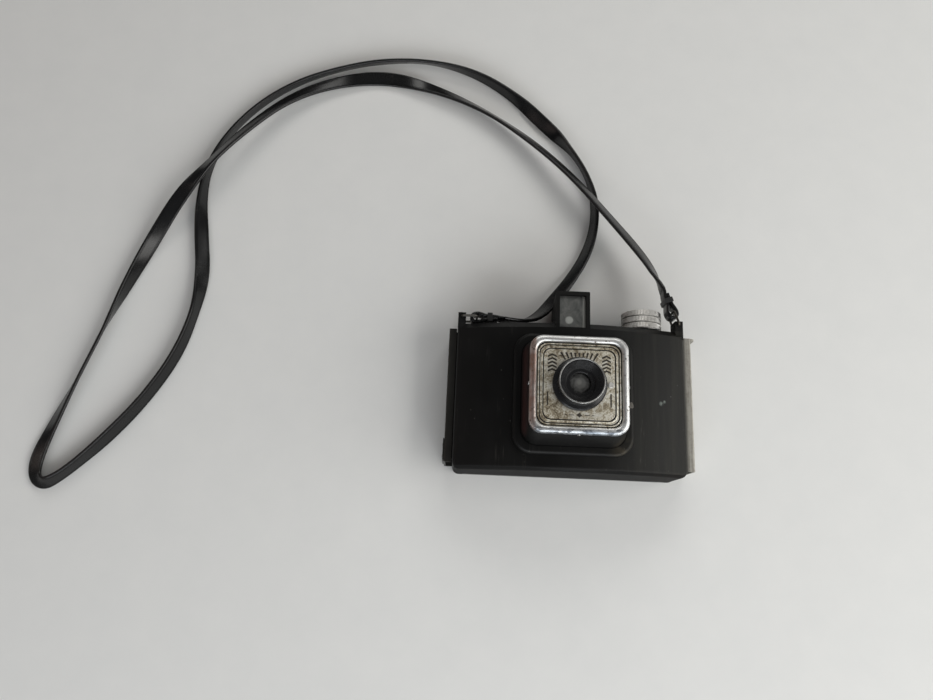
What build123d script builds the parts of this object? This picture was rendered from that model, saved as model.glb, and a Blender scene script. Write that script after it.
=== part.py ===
from build123d import *
import math
import os

# Bakelite roll-film viewfinder camera, lying on its back with its neck strap.
# Frame: millimetres, +Z out of the lens, +Y towards the viewfinder, origin on the optical axis
# at the plane of the rear cover's outer face, which is what the camera lies on.

os.makedirs("parts", exist_ok=True)

# ---------------------------------------------------------------- driving dimensions
# Body moulding
HALF_W = 53.0                 # half the width of the moulding, without its side ribs
BODY_BOTTOM = -35.0
BODY_TOP = 33.5
EDGE_Z = 24.4                 # height of the front face at the sides
CENTRE_Z = 32.6               # height of the front face at the middle, it is a shallow cylinder
WALL = 3.0
FRONT_ROUND = 2.2             # sides and bottom of the front face
CORNER_ROUND = 3.5
TOP_BEVEL = 3.0
SLIDE_GAP = 0.1               # between flat faces that slide on each other
FIT = 0.05                    # radial running clearance, and the gap of a located part

# Rear cover
SHEET = 0.8
COVER_EDGE = {-1: 56.9, 1: 57.7}   # half widths on the left and on the right
CHANNEL_TOP = 20.0
CHANNEL_HALF_L = 31.5
LIP_X = 53.4                  # inner edge of the channels' lips
TAB_X = 59.8                  # outer edge of the thumb tab
SHELL_BACK = SHEET + SLIDE_GAP
RIB_Z = (15.5, 18.9)
RIB_HALF_W = 55.6
RIB_HALF_L = 30.0
WINDOW_X = 16.5
WINDOW_R = 4.5

# Film: 46 mm wide roll, 30 x 40 mm frame, spools 52.4 mm long
SPOOL_X = 36.0
SPOOL_Z = 13.0
SPOOL_HALF_L = 26.2
FLANGE_R = 9.8
CORE_R = 3.4
CHAMBER_X = (24.0, 50.0)
PATH_Z = 6.0                  # bottom of the film path, behind the partitions
TUNNEL_HALF_W = 16.5          # exposure chamber
GATE_T = 1.0
FRAME_HALF = (15.0, 20.0)
ROLLER_X = 21.8
ROLLER_Z = 4.0
ROLLER_R = 1.7
ROLLER_HALF_L = 24.0
ROLLER_PIN_R = 0.6

# Screw positions about the optical axis
BOX_SCREW = 14.2              # lens box to moulding
PLATE_SCREW = 15.4            # shutter plate to lens box
GATE_SCREW_X = 18.2
GATE_SCREW_Y = (-28.0, 27.0)
FINDER_SCREW_X = 4.0
FINDER_SCREW_Z = 15.0
CATCH_RIVET_Y = (-28.5, -23.5)
CATCH_RIVET_Z = 13.0
MODE_PIN_R = 8.6              # radius of the mode lever's follower pin

# Lens box and face
PLINTH_HALF = 27.0
PLINTH_R = 9.0
PLINTH_DROP = 1.0             # the plinth and the box's foot reach lower than the square
FOOT_DROP = 0.8
PLINTH_Z = 34.4
SEAT_DEPTH = 0.5
BOX_BASE_HALF = 23.5
BOX_TOP_HALF = 21.3
BOX_SHOULDER_Z = 48.4         # where the bezel's skirt ends
BOX_TOP_Z = 50.0
BOX_FLOOR_Z = 36.4
BOX_RIM_HALF = 20.7
PLATE_SEAT_Z = 45.0           # ledge that carries the shutter plate
LEDGE_HALF = 17.6
MOUTH_HALF = 19.2
LIGHT_HALF = 12.0
FACE_T = 0.7
FACE_HALF = 20.4
BEZEL_TOP = 52.1
BEZEL_HALF = 21.2
BEZEL_OPEN_HALF = 18.4

# Lens mount
FLANGE_RADIUS = 11.6
TUBE_R = 9.7
TUBE_TOP = 58.2
RIM_TOP = 58.7
SPIGOT_R = 6.5
GLASS_R = 5.0
LENS_CLEAR_R = 4.4            # clear radius of the retaining ring
GLASS_Z = (51.6, 53.4)

# Shutter, behind the shutter plate
SECTOR_PIVOT = (-8.0, 7.0)
SECTOR_R = 13.5
LEVER_PIVOT = (8.5, -10.5)
LEVER_TIP = (24.2, -6.5)
LEVER_Z = (42.6, 43.4)
KNOB_PIN_R = 13.3             # radius of the mode lever's button about the optical axis

# Viewfinder
FINDER_HALF_FRONT = 7.9
FINDER_HALF_REAR = 6.4
FINDER_TOP = 48.4
FINDER_Z = (2.0, 30.2)
FINDER_FRONT = 32.2
FINDER_FOOT = 30.4
FINDER_OPEN = 6.1
FINDER_GLASS_Z = (30.2, 31.0)
EYEPIECE_Y = 42.0

# Winding knob
KNOB_R = 9.6
KNOB_Y = (35.3, 44.8)
BOSS_R = 9.3
BOSS_TOP = 35.0
SHAFT_R = 2.0
BUSH_R = 3.4

# Strap lugs, links and strap
LUG_X = (49.4, 53.0)
LUG_Z = (16.5, 24.5)
LUG_TOP = 38.4
LUG_HOLE = (51.2, 36.6)
LINK_WIRE_R = 0.55
LINK_HOLE_R = 0.7
LINK_REACH = 7.0
LINK_HALF = 4.9               # half the loop's length along Z
LINK_Z = 20.5
LINK_ANGLES = {"left": 1.0, "right": 109.0}
STRAP_W = 7.2
STRAP_T = 1.7
STRAP_TUBE_R = 2.0
STRAP_END_L = 12.0

# The strap lies on the table in a long loop. From the left lug it goes round behind the
# viewfinder, out to the folded tip and back over itself twice to the right lug.
STRAP_ROUTE = [
    (-23.5, 37.7, 18.3), (-15.5, 42.8, 13.0), (-6.0, 54.0, 6.0), (2.5, 66.0, 3.2),
    (10.5, 79.0, 2.5), (15.0, 93.5, 2.1), (15.5, 108.5, 2.1), (11.5, 124.0, 2.1),
    (2.5, 139.0, 2.1), (-11.5, 153.5, 2.1), (-28.0, 169.5, 2.1), (-50.0, 183.5, 2.1),
    (-76.0, 190.0, 2.1), (-102.5, 188.5, 2.1), (-125.0, 182.5, 2.1), (-147.0, 173.0, 2.1),
    (-166.5, 158.0, 2.1), (-181.5, 138.5, 2.1), (-189.0, 119.0, 2.1), (-190.0, 100.5, 2.1),
    (-187.5, 80.0, 2.1), (-184.0, 61.0, 2.1), (-184.5, 41.0, 2.1), (-190.5, 17.0, 2.1),
    (-203.5, -6.5, 2.1), (-218.5, -25.5, 2.1), (-231.5, -39.0, 2.1), (-240.0, -46.0, 2.1),
    (-245.5, -48.0, 2.1), (-250.0, -44.5, 2.1), (-250.5, -35.5, 2.1), (-245.0, -19.0, 2.1),
    (-237.0, 3.0, 2.1), (-229.5, 27.5, 2.1), (-221.0, 52.0, 2.1), (-211.5, 77.0, 2.6),
    (-199.0, 98.5, 5.5), (-186.5, 117.0, 9.0), (-170.5, 139.5, 9.0), (-150.5, 162.0, 5.5),
    (-126.5, 175.0, 2.8), (-98.5, 179.5, 2.1), (-70.0, 172.5, 2.1), (-42.5, 159.5, 2.5),
    (-17.5, 140.5, 4.8), (3.5, 118.0, 8.5), (22.0, 95.0, 10.5), (34.0, 79.0, 13.5),
    (41.5, 66.0, 17.5),
]

FRONT_R = (HALF_W**2 + (CENTRE_Z - EDGE_Z)**2) / (2 * (CENTRE_Z - EDGE_Z))


def front_z(x, depth=0.0):
    """Height of the front face at x, or of the surface `depth` under it."""
    radius = FRONT_R - depth
    return CENTRE_Z - depth - (radius - math.sqrt(radius**2 - x**2))


def span(low, high):
    """Length and middle of a stretch."""
    return high - low, (high + low) / 2


def block(x, y, z, mode=Mode.ADD):
    """A box given by its limits along X, Y and Z, added to the current part."""
    (lx, cx), (ly, cy), (lz, cz) = span(*x), span(*y), span(*z)
    with Locations((cx, cy, cz)):
        Box(lx, ly, lz, mode=mode)


def rod(x, y, z, radius, mode=Mode.ADD):
    """An upright cylinder about (x, y), between the two heights in z."""
    length, centre = span(*z)
    with Locations((x, y, centre)):
        Cylinder(radius, length, mode=mode)


def cross_rod(x, y, z, radius, mode=Mode.ADD):
    """A cylinder along Y about (x, z), between the two values in y."""
    length, centre = span(*y)
    with Locations(Location((x, centre, z), (90, 0, 0))):
        Cylinder(radius, length, mode=mode)


def square_prism(half, radius, z, mode=Mode.ADD, drop=0.0):
    """A rounded square prism about the optical axis, longer by `drop` at the bottom, between two heights."""
    with BuildSketch(Plane.XY.offset(z[0])) as outline:
        with Locations((0, -drop / 2)):
            RectangleRounded(2 * half, 2 * half + drop, radius)
    extrude(outline.sketch, amount=z[1] - z[0], mode=mode)


pieces = {}

# ================================================================ body moulding
with BuildPart() as front_shell:
    with BuildSketch(Plane.XZ.offset(-BODY_TOP)):
        with BuildLine():
            Polyline((-HALF_W, EDGE_Z), (-HALF_W, SHELL_BACK), (HALF_W, SHELL_BACK), (HALF_W, EDGE_Z))
            ThreePointArc((HALF_W, EDGE_Z), (0, CENTRE_Z), (-HALF_W, EDGE_Z))
        make_face()
    extrude(amount=BODY_TOP - BODY_BOTTOM)
    top_front = front_shell.faces().sort_by(Axis.Y)[-1].edges().sort_by(Axis.Z)[-1]
    chamfer(top_front, length=TOP_BEVEL)
    fillet(front_shell.edges().filter_by(Axis.Z).group_by(Axis.Y)[0], radius=CORNER_ROUND)
    front_face = front_shell.faces().sort_by(Axis.Z)[-1]
    rounded_edges = front_face.edges().filter_by(lambda edge: edge.center().Y < BODY_TOP - TOP_BEVEL - 1)
    fillet(rounded_edges, radius=FRONT_ROUND)
    # plinth under the lens box
    square_prism(PLINTH_HALF, PLINTH_R, (EDGE_Z, PLINTH_Z), drop=PLINTH_DROP)
    fillet(front_shell.faces().sort_by(Axis.Z)[-1].edges(), radius=1.6)
    # ribs that the rear cover slides on, lugs for the strap, and the boss under the knob
    for side in (-1, 1):
        block(sorted((side * (HALF_W - 1), side * RIB_HALF_W)), (-RIB_HALF_L, RIB_HALF_L), RIB_Z)
        block(sorted((side * LUG_X[0], side * LUG_X[1])), (BODY_TOP - 4.0, LUG_TOP), LUG_Z)
        rod(side * LUG_HOLE[0], LUG_HOLE[1], (LUG_Z[0] - 1, LUG_Z[1] + 1), LINK_HOLE_R, Mode.SUBTRACT)
    cross_rod(SPOOL_X, (BODY_TOP - 1, BOSS_TOP), SPOOL_Z, BOSS_R)
    # film path, spool chambers and exposure chamber
    inner_y = (BODY_BOTTOM + WALL, BODY_TOP - WALL)
    block((-CHAMBER_X[1], CHAMBER_X[1]), inner_y, (SHELL_BACK - 1, PATH_Z), Mode.SUBTRACT)
    for side in (-1, 1):
        with BuildSketch(Plane.XZ.offset(-inner_y[1])):
            with BuildLine():
                near, far = CHAMBER_X
                middle = (near + far) / 2
                Polyline(
                    (side * near, front_z(near, WALL)),
                    (side * near, PATH_Z - 1),
                    (side * far, PATH_Z - 1),
                    (side * far, front_z(far, WALL)),
                )
                ThreePointArc(
                    (side * far, front_z(far, WALL)),
                    (side * middle, front_z(middle, WALL)),
                    (side * near, front_z(near, WALL)),
                )
            make_face()
        extrude(amount=inner_y[1] - inner_y[0], mode=Mode.SUBTRACT)
    tunnel_top = front_z(TUNNEL_HALF_W, WALL)
    block((-TUNNEL_HALF_W, TUNNEL_HALF_W), inner_y, (PATH_Z - 1, tunnel_top), Mode.SUBTRACT)
    pocket_top = PLINTH_Z - SEAT_DEPTH - 2.5
    block((-TUNNEL_HALF_W, TUNNEL_HALF_W), (-18.5, 18.5), (PATH_Z, pocket_top), Mode.SUBTRACT)
    block((-LIGHT_HALF, LIGHT_HALF), (-LIGHT_HALF, LIGHT_HALF), (PATH_Z, PLINTH_Z + 1), Mode.SUBTRACT)
    square_prism(BOX_BASE_HALF + 0.15, 7.5, (PLINTH_Z - SEAT_DEPTH, PLINTH_Z + 1), Mode.SUBTRACT, FOOT_DROP)
    # roller bearings
    for side in (-1, 1):
        for end in (-1, 1):
            block(
                sorted((side * (ROLLER_X - 1.9), side * (ROLLER_X + 1.9))),
                sorted((end * (ROLLER_HALF_L + 0.4), end * (ROLLER_HALF_L + 3.4))),
                (ROLLER_Z - 1.8, PATH_Z + 1),
            )
        cross_rod(side * ROLLER_X, (-ROLLER_HALF_L - 2.9, ROLLER_HALF_L + 2.9), ROLLER_Z,
                  ROLLER_PIN_R + FIT, Mode.SUBTRACT)
    # screw holes: lens box, film gate and viewfinder; bush hole; notch for the finder's foot
    for x in (-BOX_SCREW, BOX_SCREW):
        for y in (-BOX_SCREW, BOX_SCREW):
            rod(x, y, (pocket_top - 1, PLINTH_Z), 1.1, Mode.SUBTRACT)
    for x in (-GATE_SCREW_X, GATE_SCREW_X):
        for y in GATE_SCREW_Y:
            rod(x, y, (PATH_Z - 1, PATH_Z + 4), 0.75, Mode.SUBTRACT)
    for x in (-FINDER_SCREW_X, FINDER_SCREW_X):
        cross_rod(x, (BODY_TOP - WALL - 1, BODY_TOP + 1), FINDER_SCREW_Z, 1.0, Mode.SUBTRACT)
    cross_rod(SPOOL_X, (BODY_TOP - WALL - 1, BOSS_TOP + 1), SPOOL_Z, BUSH_R + FIT, Mode.SUBTRACT)
    block((-FINDER_HALF_FRONT - FIT, FINDER_HALF_FRONT + FIT), (FINDER_FOOT - FIT, BODY_TOP + 1),
          (FINDER_Z[1] - FIT, CENTRE_Z + 1), Mode.SUBTRACT)
    # rabbet for the cover's bottom lip, and the way out for the window retainers behind it
    block((-48.2, 48.2), (BODY_BOTTOM - 1, BODY_BOTTOM + SHEET + SLIDE_GAP), (SHELL_BACK - 1, 3.2),
          Mode.SUBTRACT)
    relief = WINDOW_X + WINDOW_R + 3.4
    block((-relief, relief), (BODY_BOTTOM - 1, BODY_BOTTOM + WALL + 1), (SHELL_BACK - 1, 2.0), Mode.SUBTRACT)
pieces["front_shell"] = front_shell

# ================================================================ lens box and face
with BuildPart() as lens_box:
    box_foot_z = PLINTH_Z - SEAT_DEPTH
    with BuildSketch(Plane.XY.offset(box_foot_z)) as foot_outline:
        with Locations((0, -FOOT_DROP / 2)):
            RectangleRounded(2 * BOX_BASE_HALF, 2 * BOX_BASE_HALF + FOOT_DROP, 7.5)
    with BuildSketch(Plane.XY.offset(BOX_SHOULDER_Z)) as shoulder_outline:
        RectangleRounded(2 * BOX_TOP_HALF, 2 * BOX_TOP_HALF, 6.0)
    loft()
    square_prism(BOX_RIM_HALF, 5.4, (BOX_SHOULDER_Z - 0.5, BOX_TOP_Z))
    square_prism(LEDGE_HALF, 4.0, (BOX_FLOOR_Z, BOX_TOP_Z + 1), Mode.SUBTRACT)
    square_prism(MOUTH_HALF, 4.6, (PLATE_SEAT_Z, BOX_TOP_Z + 1), Mode.SUBTRACT)
    block((-LIGHT_HALF, LIGHT_HALF), (-LIGHT_HALF, LIGHT_HALF), (box_foot_z - 1, BOX_FLOOR_Z + 1),
          Mode.SUBTRACT)
    for x in (-PLATE_SCREW, PLATE_SCREW):
        for y in (-PLATE_SCREW, PLATE_SCREW):
            rod(x, y, (BOX_FLOOR_Z - 0.5, PLATE_SEAT_Z), 3.0)
            rod(x, y, (PLATE_SEAT_Z - 4.0, PLATE_SEAT_Z + 1), 0.85, Mode.SUBTRACT)
    for x in (-BOX_SCREW, BOX_SCREW):
        for y in (-BOX_SCREW, BOX_SCREW):
            rod(x, y, (box_foot_z - 1, box_foot_z + 4.0), 1.05, Mode.SUBTRACT)
    # slot for the release lever, and holes for the bezel's side screws
    block((LEDGE_HALF - 2, BOX_BASE_HALF + 1), (-12.4, -5.6), (LEVER_Z[0] - 0.5, LEVER_Z[1] + 0.5),
          Mode.SUBTRACT)
    for angle in range(0, 360, 90):
        with Locations(Rot(0, 0, angle) * Location((BOX_RIM_HALF, 0, 49.2), (0, 90, 0))):
            Cylinder(0.45, 2.4, mode=Mode.SUBTRACT)
pieces["lens_box"] = lens_box

with BuildPart() as lens_box_screws:
    for x in (-BOX_SCREW, BOX_SCREW):
        for y in (-BOX_SCREW, BOX_SCREW):
            rod(x, y, (pocket_top, box_foot_z + 3.6), 1.0)
            rod(x, y, (pocket_top - 1.2, pocket_top), 1.9)
            block((x - 1.4, x + 1.4), (y - 0.2, y + 0.2), (pocket_top - 1.3, pocket_top - 0.7), Mode.SUBTRACT)
pieces["lens_box_screws"] = lens_box_screws

with BuildPart() as face_plate:
    square_prism(FACE_HALF, 5.2, (BOX_TOP_Z, BOX_TOP_Z + FACE_T))
    face_z = BOX_TOP_Z + FACE_T
    for half, width in ((17.1, 0.6), (15.5, 0.5)):
        square_prism(half, half / 4, (face_z - 0.1, face_z + 0.35))
        square_prism(half - width, half / 4 - width / 2, (face_z, face_z + 1), Mode.SUBTRACT)
    for x in (-13.6, 13.4):
        block((x - 0.45, x + 0.45), (-9.6, -3.6), (face_z - 0.35, face_z + 1), Mode.SUBTRACT)
    rod(0, 0, (BOX_TOP_Z - 1, face_z + 1), SPIGOT_R + FIT, Mode.SUBTRACT)
    # arc slot for the mode lever's pin, hidden under the lens flange
    with BuildSketch(Plane.XY.offset(BOX_TOP_Z - 1)) as arc_slot:
        with PolarLocations(MODE_PIN_R, 9, start_angle=-32, angular_range=36, endpoint=True):
            Circle(0.75)
    extrude(arc_slot.sketch, amount=FACE_T + 2, mode=Mode.SUBTRACT)
pieces["face_plate"] = face_plate

with BuildPart() as bezel_frame:
    square_prism(BEZEL_HALF, 5.9, (BOX_SHOULDER_Z + 0.05, BEZEL_TOP))
    fillet(bezel_frame.faces().sort_by(Axis.Z)[-1].edges(), radius=0.9)
    square_prism(BOX_RIM_HALF + FIT, 5.45, (BOX_SHOULDER_Z - 1, face_z), Mode.SUBTRACT)
    square_prism(BEZEL_OPEN_HALF, 4.4, (face_z - 1, BEZEL_TOP + 1), Mode.SUBTRACT)
    for angle in range(0, 360, 90):
        with Locations(Rot(0, 0, angle) * Location((BEZEL_HALF, 0, 49.2), (0, 90, 0))):
            Cylinder(0.5, 3.0, mode=Mode.SUBTRACT)
pieces["bezel_frame"] = bezel_frame

with BuildPart() as bezel_screws:
    for angle in range(0, 360, 90):
        with Locations(Rot(0, 0, angle) * Location((BEZEL_HALF - 0.6, 0, 49.2), (0, 90, 0))):
            Cylinder(0.4, 1.8)
        with Locations(Rot(0, 0, angle) * Location((BEZEL_HALF + 0.25, 0, 49.2), (0, 90, 0))):
            Cylinder(0.7, 0.4)
pieces["bezel_screws"] = bezel_screws

# ================================================================ lens mount
with BuildPart() as lens_barrel:
    spigot_foot = PLATE_SEAT_Z + SHEET + 0.4
    with BuildSketch(Plane.XZ):
        with BuildLine():
            Polyline(
                (2.8, spigot_foot),
                (SPIGOT_R, spigot_foot),
                (SPIGOT_R, 51.3),
                (FLANGE_RADIUS, 51.3),
                (FLANGE_RADIUS, 52.4),
                (FLANGE_RADIUS - 0.6, 53.0),
                (TUBE_R, 53.4),
                (TUBE_R, TUBE_TOP),
                (TUBE_R - 0.9, TUBE_TOP),
                (6.4, 55.4),
                (6.0, 54.4),
                (GLASS_R + FIT, 54.4),
                (GLASS_R + FIT, GLASS_Z[0]),
                (2.8, GLASS_Z[0]),
                close=True,
            )
        make_face()
    revolve(axis=Axis.Z)
pieces["lens_barrel"] = lens_barrel

with BuildPart() as barrel_rim:
    with BuildSketch(Plane.XZ):
        with Locations((TUBE_R - 0.3, TUBE_TOP + 0.25)):
            RectangleRounded(0.6, 0.5, 0.2)
    revolve(axis=Axis.Z)
pieces["barrel_rim"] = barrel_rim

with BuildPart() as lens_glass:
    with BuildSketch(Plane.XZ):
        with BuildLine():
            Line((0, GLASS_Z[0]), (GLASS_R, GLASS_Z[0]))
            Line((GLASS_R, GLASS_Z[0]), (GLASS_R, GLASS_Z[1] - 0.6))
            RadiusArc((GLASS_R, GLASS_Z[1] - 0.6), (0, GLASS_Z[1]), -(GLASS_R**2 + 0.36) / 1.2)
            Line((0, GLASS_Z[1]), (0, GLASS_Z[0]))
        make_face()
    revolve(axis=Axis.Z)
pieces["lens_glass"] = lens_glass

with BuildPart() as lens_retaining_ring:
    rod(0, 0, (GLASS_Z[1], 54.4), GLASS_R)
    rod(0, 0, (GLASS_Z[1] - 1, 55.4), LENS_CLEAR_R, Mode.SUBTRACT)
    chamfer(lens_retaining_ring.edges().group_by(Axis.Z)[-1].sort_by(SortBy.RADIUS)[0], length=0.3)
pieces["lens_retaining_ring"] = lens_retaining_ring

with BuildPart() as aperture_disc:
    rod(0, 0, (PLATE_SEAT_Z + SHEET, spigot_foot), SPIGOT_R - 0.1)
    rod(0, 0, (PLATE_SEAT_Z, spigot_foot + 1), 2.3, Mode.SUBTRACT)
pieces["aperture_disc"] = aperture_disc

with BuildPart() as mode_lever:
    rod(0, 0, (face_z + 0.1, face_z + 0.45), 10.6)
    with BuildSketch(Plane.XY.offset(face_z + 0.1)) as arm:
        SlotCenterToCenter(2 * (KNOB_PIN_R - 9.5), 1.5)
    extrude(Pos(KNOB_PIN_R - 3.8, 0, 0) * arm.sketch, amount=0.35)
    rod(0, 0, (face_z, face_z + 1), SPIGOT_R + FIT, Mode.SUBTRACT)
    rod(KNOB_PIN_R, 0, (face_z + 0.1, face_z + 1.5), 1.35)
    fillet(mode_lever.faces().sort_by(Axis.Z)[-1].edges(), radius=0.45)
    rod(MODE_PIN_R, 0, (PLATE_SEAT_Z + SHEET + 0.5, face_z + 0.2), 0.5)
pieces["mode_lever"] = mode_lever

# ================================================================ shutter
with BuildPart() as shutter_plate:
    square_prism(MOUTH_HALF - 0.1, 4.5, (PLATE_SEAT_Z, PLATE_SEAT_Z + SHEET))
    rod(0, 0, (PLATE_SEAT_Z - 1, PLATE_SEAT_Z + 2), 3.0, Mode.SUBTRACT)
    for x, y in (SECTOR_PIVOT, LEVER_PIVOT):
        rod(x, y, (PLATE_SEAT_Z - 1, PLATE_SEAT_Z + 2), 0.85, Mode.SUBTRACT)
    for x in (-PLATE_SCREW, PLATE_SCREW):
        for y in (-PLATE_SCREW, PLATE_SCREW):
            rod(x, y, (PLATE_SEAT_Z - 1, PLATE_SEAT_Z + 2), 0.85, Mode.SUBTRACT)
pieces["shutter_plate"] = shutter_plate

with BuildPart() as shutter_plate_screws:
    for x in (-PLATE_SCREW, PLATE_SCREW):
        for y in (-PLATE_SCREW, PLATE_SCREW):
            rod(x, y, (PLATE_SEAT_Z - 3.4, PLATE_SEAT_Z + SHEET), 0.8)
            rod(x, y, (PLATE_SEAT_Z + SHEET, PLATE_SEAT_Z + SHEET + 0.8), 1.4)
pieces["shutter_plate_screws"] = shutter_plate_screws

with BuildPart() as sector_pivot:
    rod(*SECTOR_PIVOT, (43.2, PLATE_SEAT_Z + SHEET), 0.8)
    rod(*SECTOR_PIVOT, (42.9, 43.4), 1.4)
pieces["sector_pivot"] = sector_pivot

with BuildPart() as lever_pivot:
    rod(*LEVER_PIVOT, (42.2, PLATE_SEAT_Z + SHEET), 0.8)
    rod(*LEVER_PIVOT, (41.8, LEVER_Z[0] - 0.1), 1.5)
pieces["lever_pivot"] = lever_pivot

with BuildPart() as shutter_sector:
    sector_z = (43.9, 44.3)
    rest_angle = math.degrees(math.atan2(-SECTOR_PIVOT[1], -SECTOR_PIVOT[0]))
    with BuildSketch(Plane.XY.offset(sector_z[0])) as blade:
        with BuildLine():
            blade_arc = CenterArc((0, 0), SECTOR_R, rest_angle - 62, 82)
            Line(blade_arc @ 1, (0, 0))
            Line((0, 0), blade_arc @ 0)
        make_face()
        Circle(2.4)
        with PolarLocations(math.hypot(*SECTOR_PIVOT), 5, start_angle=rest_angle - 27,
                            angular_range=12, endpoint=True):
            Circle(2.6, mode=Mode.SUBTRACT)
        Circle(0.8 + FIT, mode=Mode.SUBTRACT)
    extrude(Pos(*SECTOR_PIVOT, 0) * blade.sketch, amount=sector_z[1] - sector_z[0])
pieces["shutter_sector"] = shutter_sector

with BuildPart() as release_lever:
    lever_angle = math.degrees(math.atan2(LEVER_TIP[1] - LEVER_PIVOT[1], LEVER_TIP[0] - LEVER_PIVOT[0]))
    lever_length = math.dist(LEVER_TIP, LEVER_PIVOT)
    lever_plane = Plane(
        origin=(*LEVER_PIVOT, LEVER_Z[0]),
        x_dir=(math.cos(math.radians(lever_angle)), math.sin(math.radians(lever_angle)), 0),
        z_dir=(0, 0, 1),
    )
    with BuildSketch(lever_plane):
        with Locations((lever_length / 2, 0)):
            Rectangle(lever_length, 1.8)
        with Locations((lever_length - 0.5, 0)):
            RectangleRounded(1.6, 2.6, 0.6)
        Circle(2.2)
        with Locations((-3.2, 1.6)):
            RectangleRounded(6.4, 1.6, 0.6, rotation=-25)
        Circle(0.8 + FIT, mode=Mode.SUBTRACT)
    extrude(amount=LEVER_Z[1] - LEVER_Z[0])
pieces["release_lever"] = release_lever

with BuildPart() as shutter_spring:
    with BuildSketch(Plane.XZ.offset(-LEVER_PIVOT[1])):
        for level in (43.95, 44.55):
            with Locations((LEVER_PIVOT[0] + 1.6, level)):
                Circle(0.32)
    revolve(axis=Axis(origin=(*LEVER_PIVOT, 0), direction=(0, 0, 1)))
    with Locations(Location((LEVER_PIVOT[0] + 3.4, LEVER_PIVOT[1] - 1.6, 44.25), (0, 90, 0))):
        Cylinder(0.3, 6.8)
    with Locations(Location((LEVER_PIVOT[0] + 1.6, LEVER_PIVOT[1], 44.25))):
        Cylinder(0.3, 0.7)
pieces["shutter_spring"] = shutter_spring

# ================================================================ viewfinder
with BuildPart() as viewfinder_housing:
    middle_y = (BODY_TOP + FINDER_TOP) / 2
    for height, half in ((FINDER_Z[0], FINDER_HALF_REAR), (FINDER_Z[1], FINDER_HALF_FRONT)):
        with BuildSketch(Plane.XY.offset(height)):
            with Locations((0, middle_y)):
                Rectangle(2 * half, FINDER_TOP - BODY_TOP)
    loft()
    block((-FINDER_HALF_FRONT, FINDER_HALF_FRONT), (FINDER_FOOT, FINDER_TOP), (FINDER_Z[1], FINDER_FRONT))
    fillet(viewfinder_housing.edges().filter_by(Axis.Z).group_by(Axis.Y)[-1], radius=0.5)
    glass_y = (FINDER_FOOT + 0.6, FINDER_TOP - 1.9)
    block((-FINDER_OPEN, FINDER_OPEN), glass_y, (FINDER_GLASS_Z[0], FINDER_FRONT + 1), Mode.SUBTRACT)
    block((-4.8, 4.8), (BODY_TOP + 2.0, glass_y[1] - 0.8), (5.0, FINDER_FRONT), Mode.SUBTRACT)
    rod(0, EYEPIECE_Y, (FINDER_Z[0] - 1, 6.0), 2.3, Mode.SUBTRACT)
    rod(0, EYEPIECE_Y, (FINDER_Z[0] - 1, 3.8), 3.2, Mode.SUBTRACT)
    for x in (-FINDER_SCREW_X, FINDER_SCREW_X):
        cross_rod(x, (BODY_TOP - 1, BODY_TOP + 1.6), FINDER_SCREW_Z, 0.95, Mode.SUBTRACT)
pieces["viewfinder_housing"] = viewfinder_housing

with BuildPart() as finder_front_glass:
    block((-FINDER_OPEN + FIT, FINDER_OPEN - FIT), (glass_y[0] + FIT, glass_y[1] - FIT), FINDER_GLASS_Z)
pieces["finder_front_glass"] = finder_front_glass

with BuildPart() as finder_eyepiece_glass:
    rod(0, EYEPIECE_Y, (2.9, 3.8), 3.15)
pieces["finder_eyepiece_glass"] = finder_eyepiece_glass

with BuildPart() as finder_eyepiece_ring:
    rod(0, EYEPIECE_Y, (2.1, 2.9), 3.15)
    rod(0, EYEPIECE_Y, (1.0, 4.0), 2.3, Mode.SUBTRACT)
pieces["finder_eyepiece_ring"] = finder_eyepiece_ring

with BuildPart() as finder_screws:
    for x in (-FINDER_SCREW_X, FINDER_SCREW_X):
        cross_rod(x, (BODY_TOP - WALL, BODY_TOP + 1.5), FINDER_SCREW_Z, 0.9)
        cross_rod(x, (BODY_TOP - WALL - 1.2, BODY_TOP - WALL), FINDER_SCREW_Z, 1.8)
pieces["finder_screws"] = finder_screws

# ================================================================ film transport
with BuildPart() as film_gate:
    gate_z = (PATH_Z - GATE_T, PATH_Z)
    block((-19.4, 19.4), (BODY_BOTTOM + WALL + 0.4, BODY_TOP - WALL - 0.4), gate_z)
    block((-FRAME_HALF[0], FRAME_HALF[0]), (-FRAME_HALF[1], FRAME_HALF[1]), (gate_z[0] - 1, gate_z[1] + 1),
          Mode.SUBTRACT)
    for x in (-GATE_SCREW_X, GATE_SCREW_X):
        for y in GATE_SCREW_Y:
            rod(x, y, (gate_z[0] - 1, gate_z[1] + 1), 0.75, Mode.SUBTRACT)
pieces["film_gate"] = film_gate

with BuildPart() as film_gate_screws:
    for x in (-GATE_SCREW_X, GATE_SCREW_X):
        for y in GATE_SCREW_Y:
            rod(x, y, (gate_z[0], PATH_Z + 3.5), 0.7)
            rod(x, y, (gate_z[0] - 0.7, gate_z[0]), 1.15)
pieces["film_gate_screws"] = film_gate_screws

for name, side in (("film_roller_left", -1), ("film_roller_right", 1)):
    with BuildPart() as roller:
        cross_rod(side * ROLLER_X, (-ROLLER_HALF_L, ROLLER_HALF_L), ROLLER_Z, ROLLER_R)
        cross_rod(side * ROLLER_X, (-ROLLER_HALF_L - 2.7, ROLLER_HALF_L + 2.7), ROLLER_Z, ROLLER_PIN_R)
    pieces[name] = roller

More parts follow.
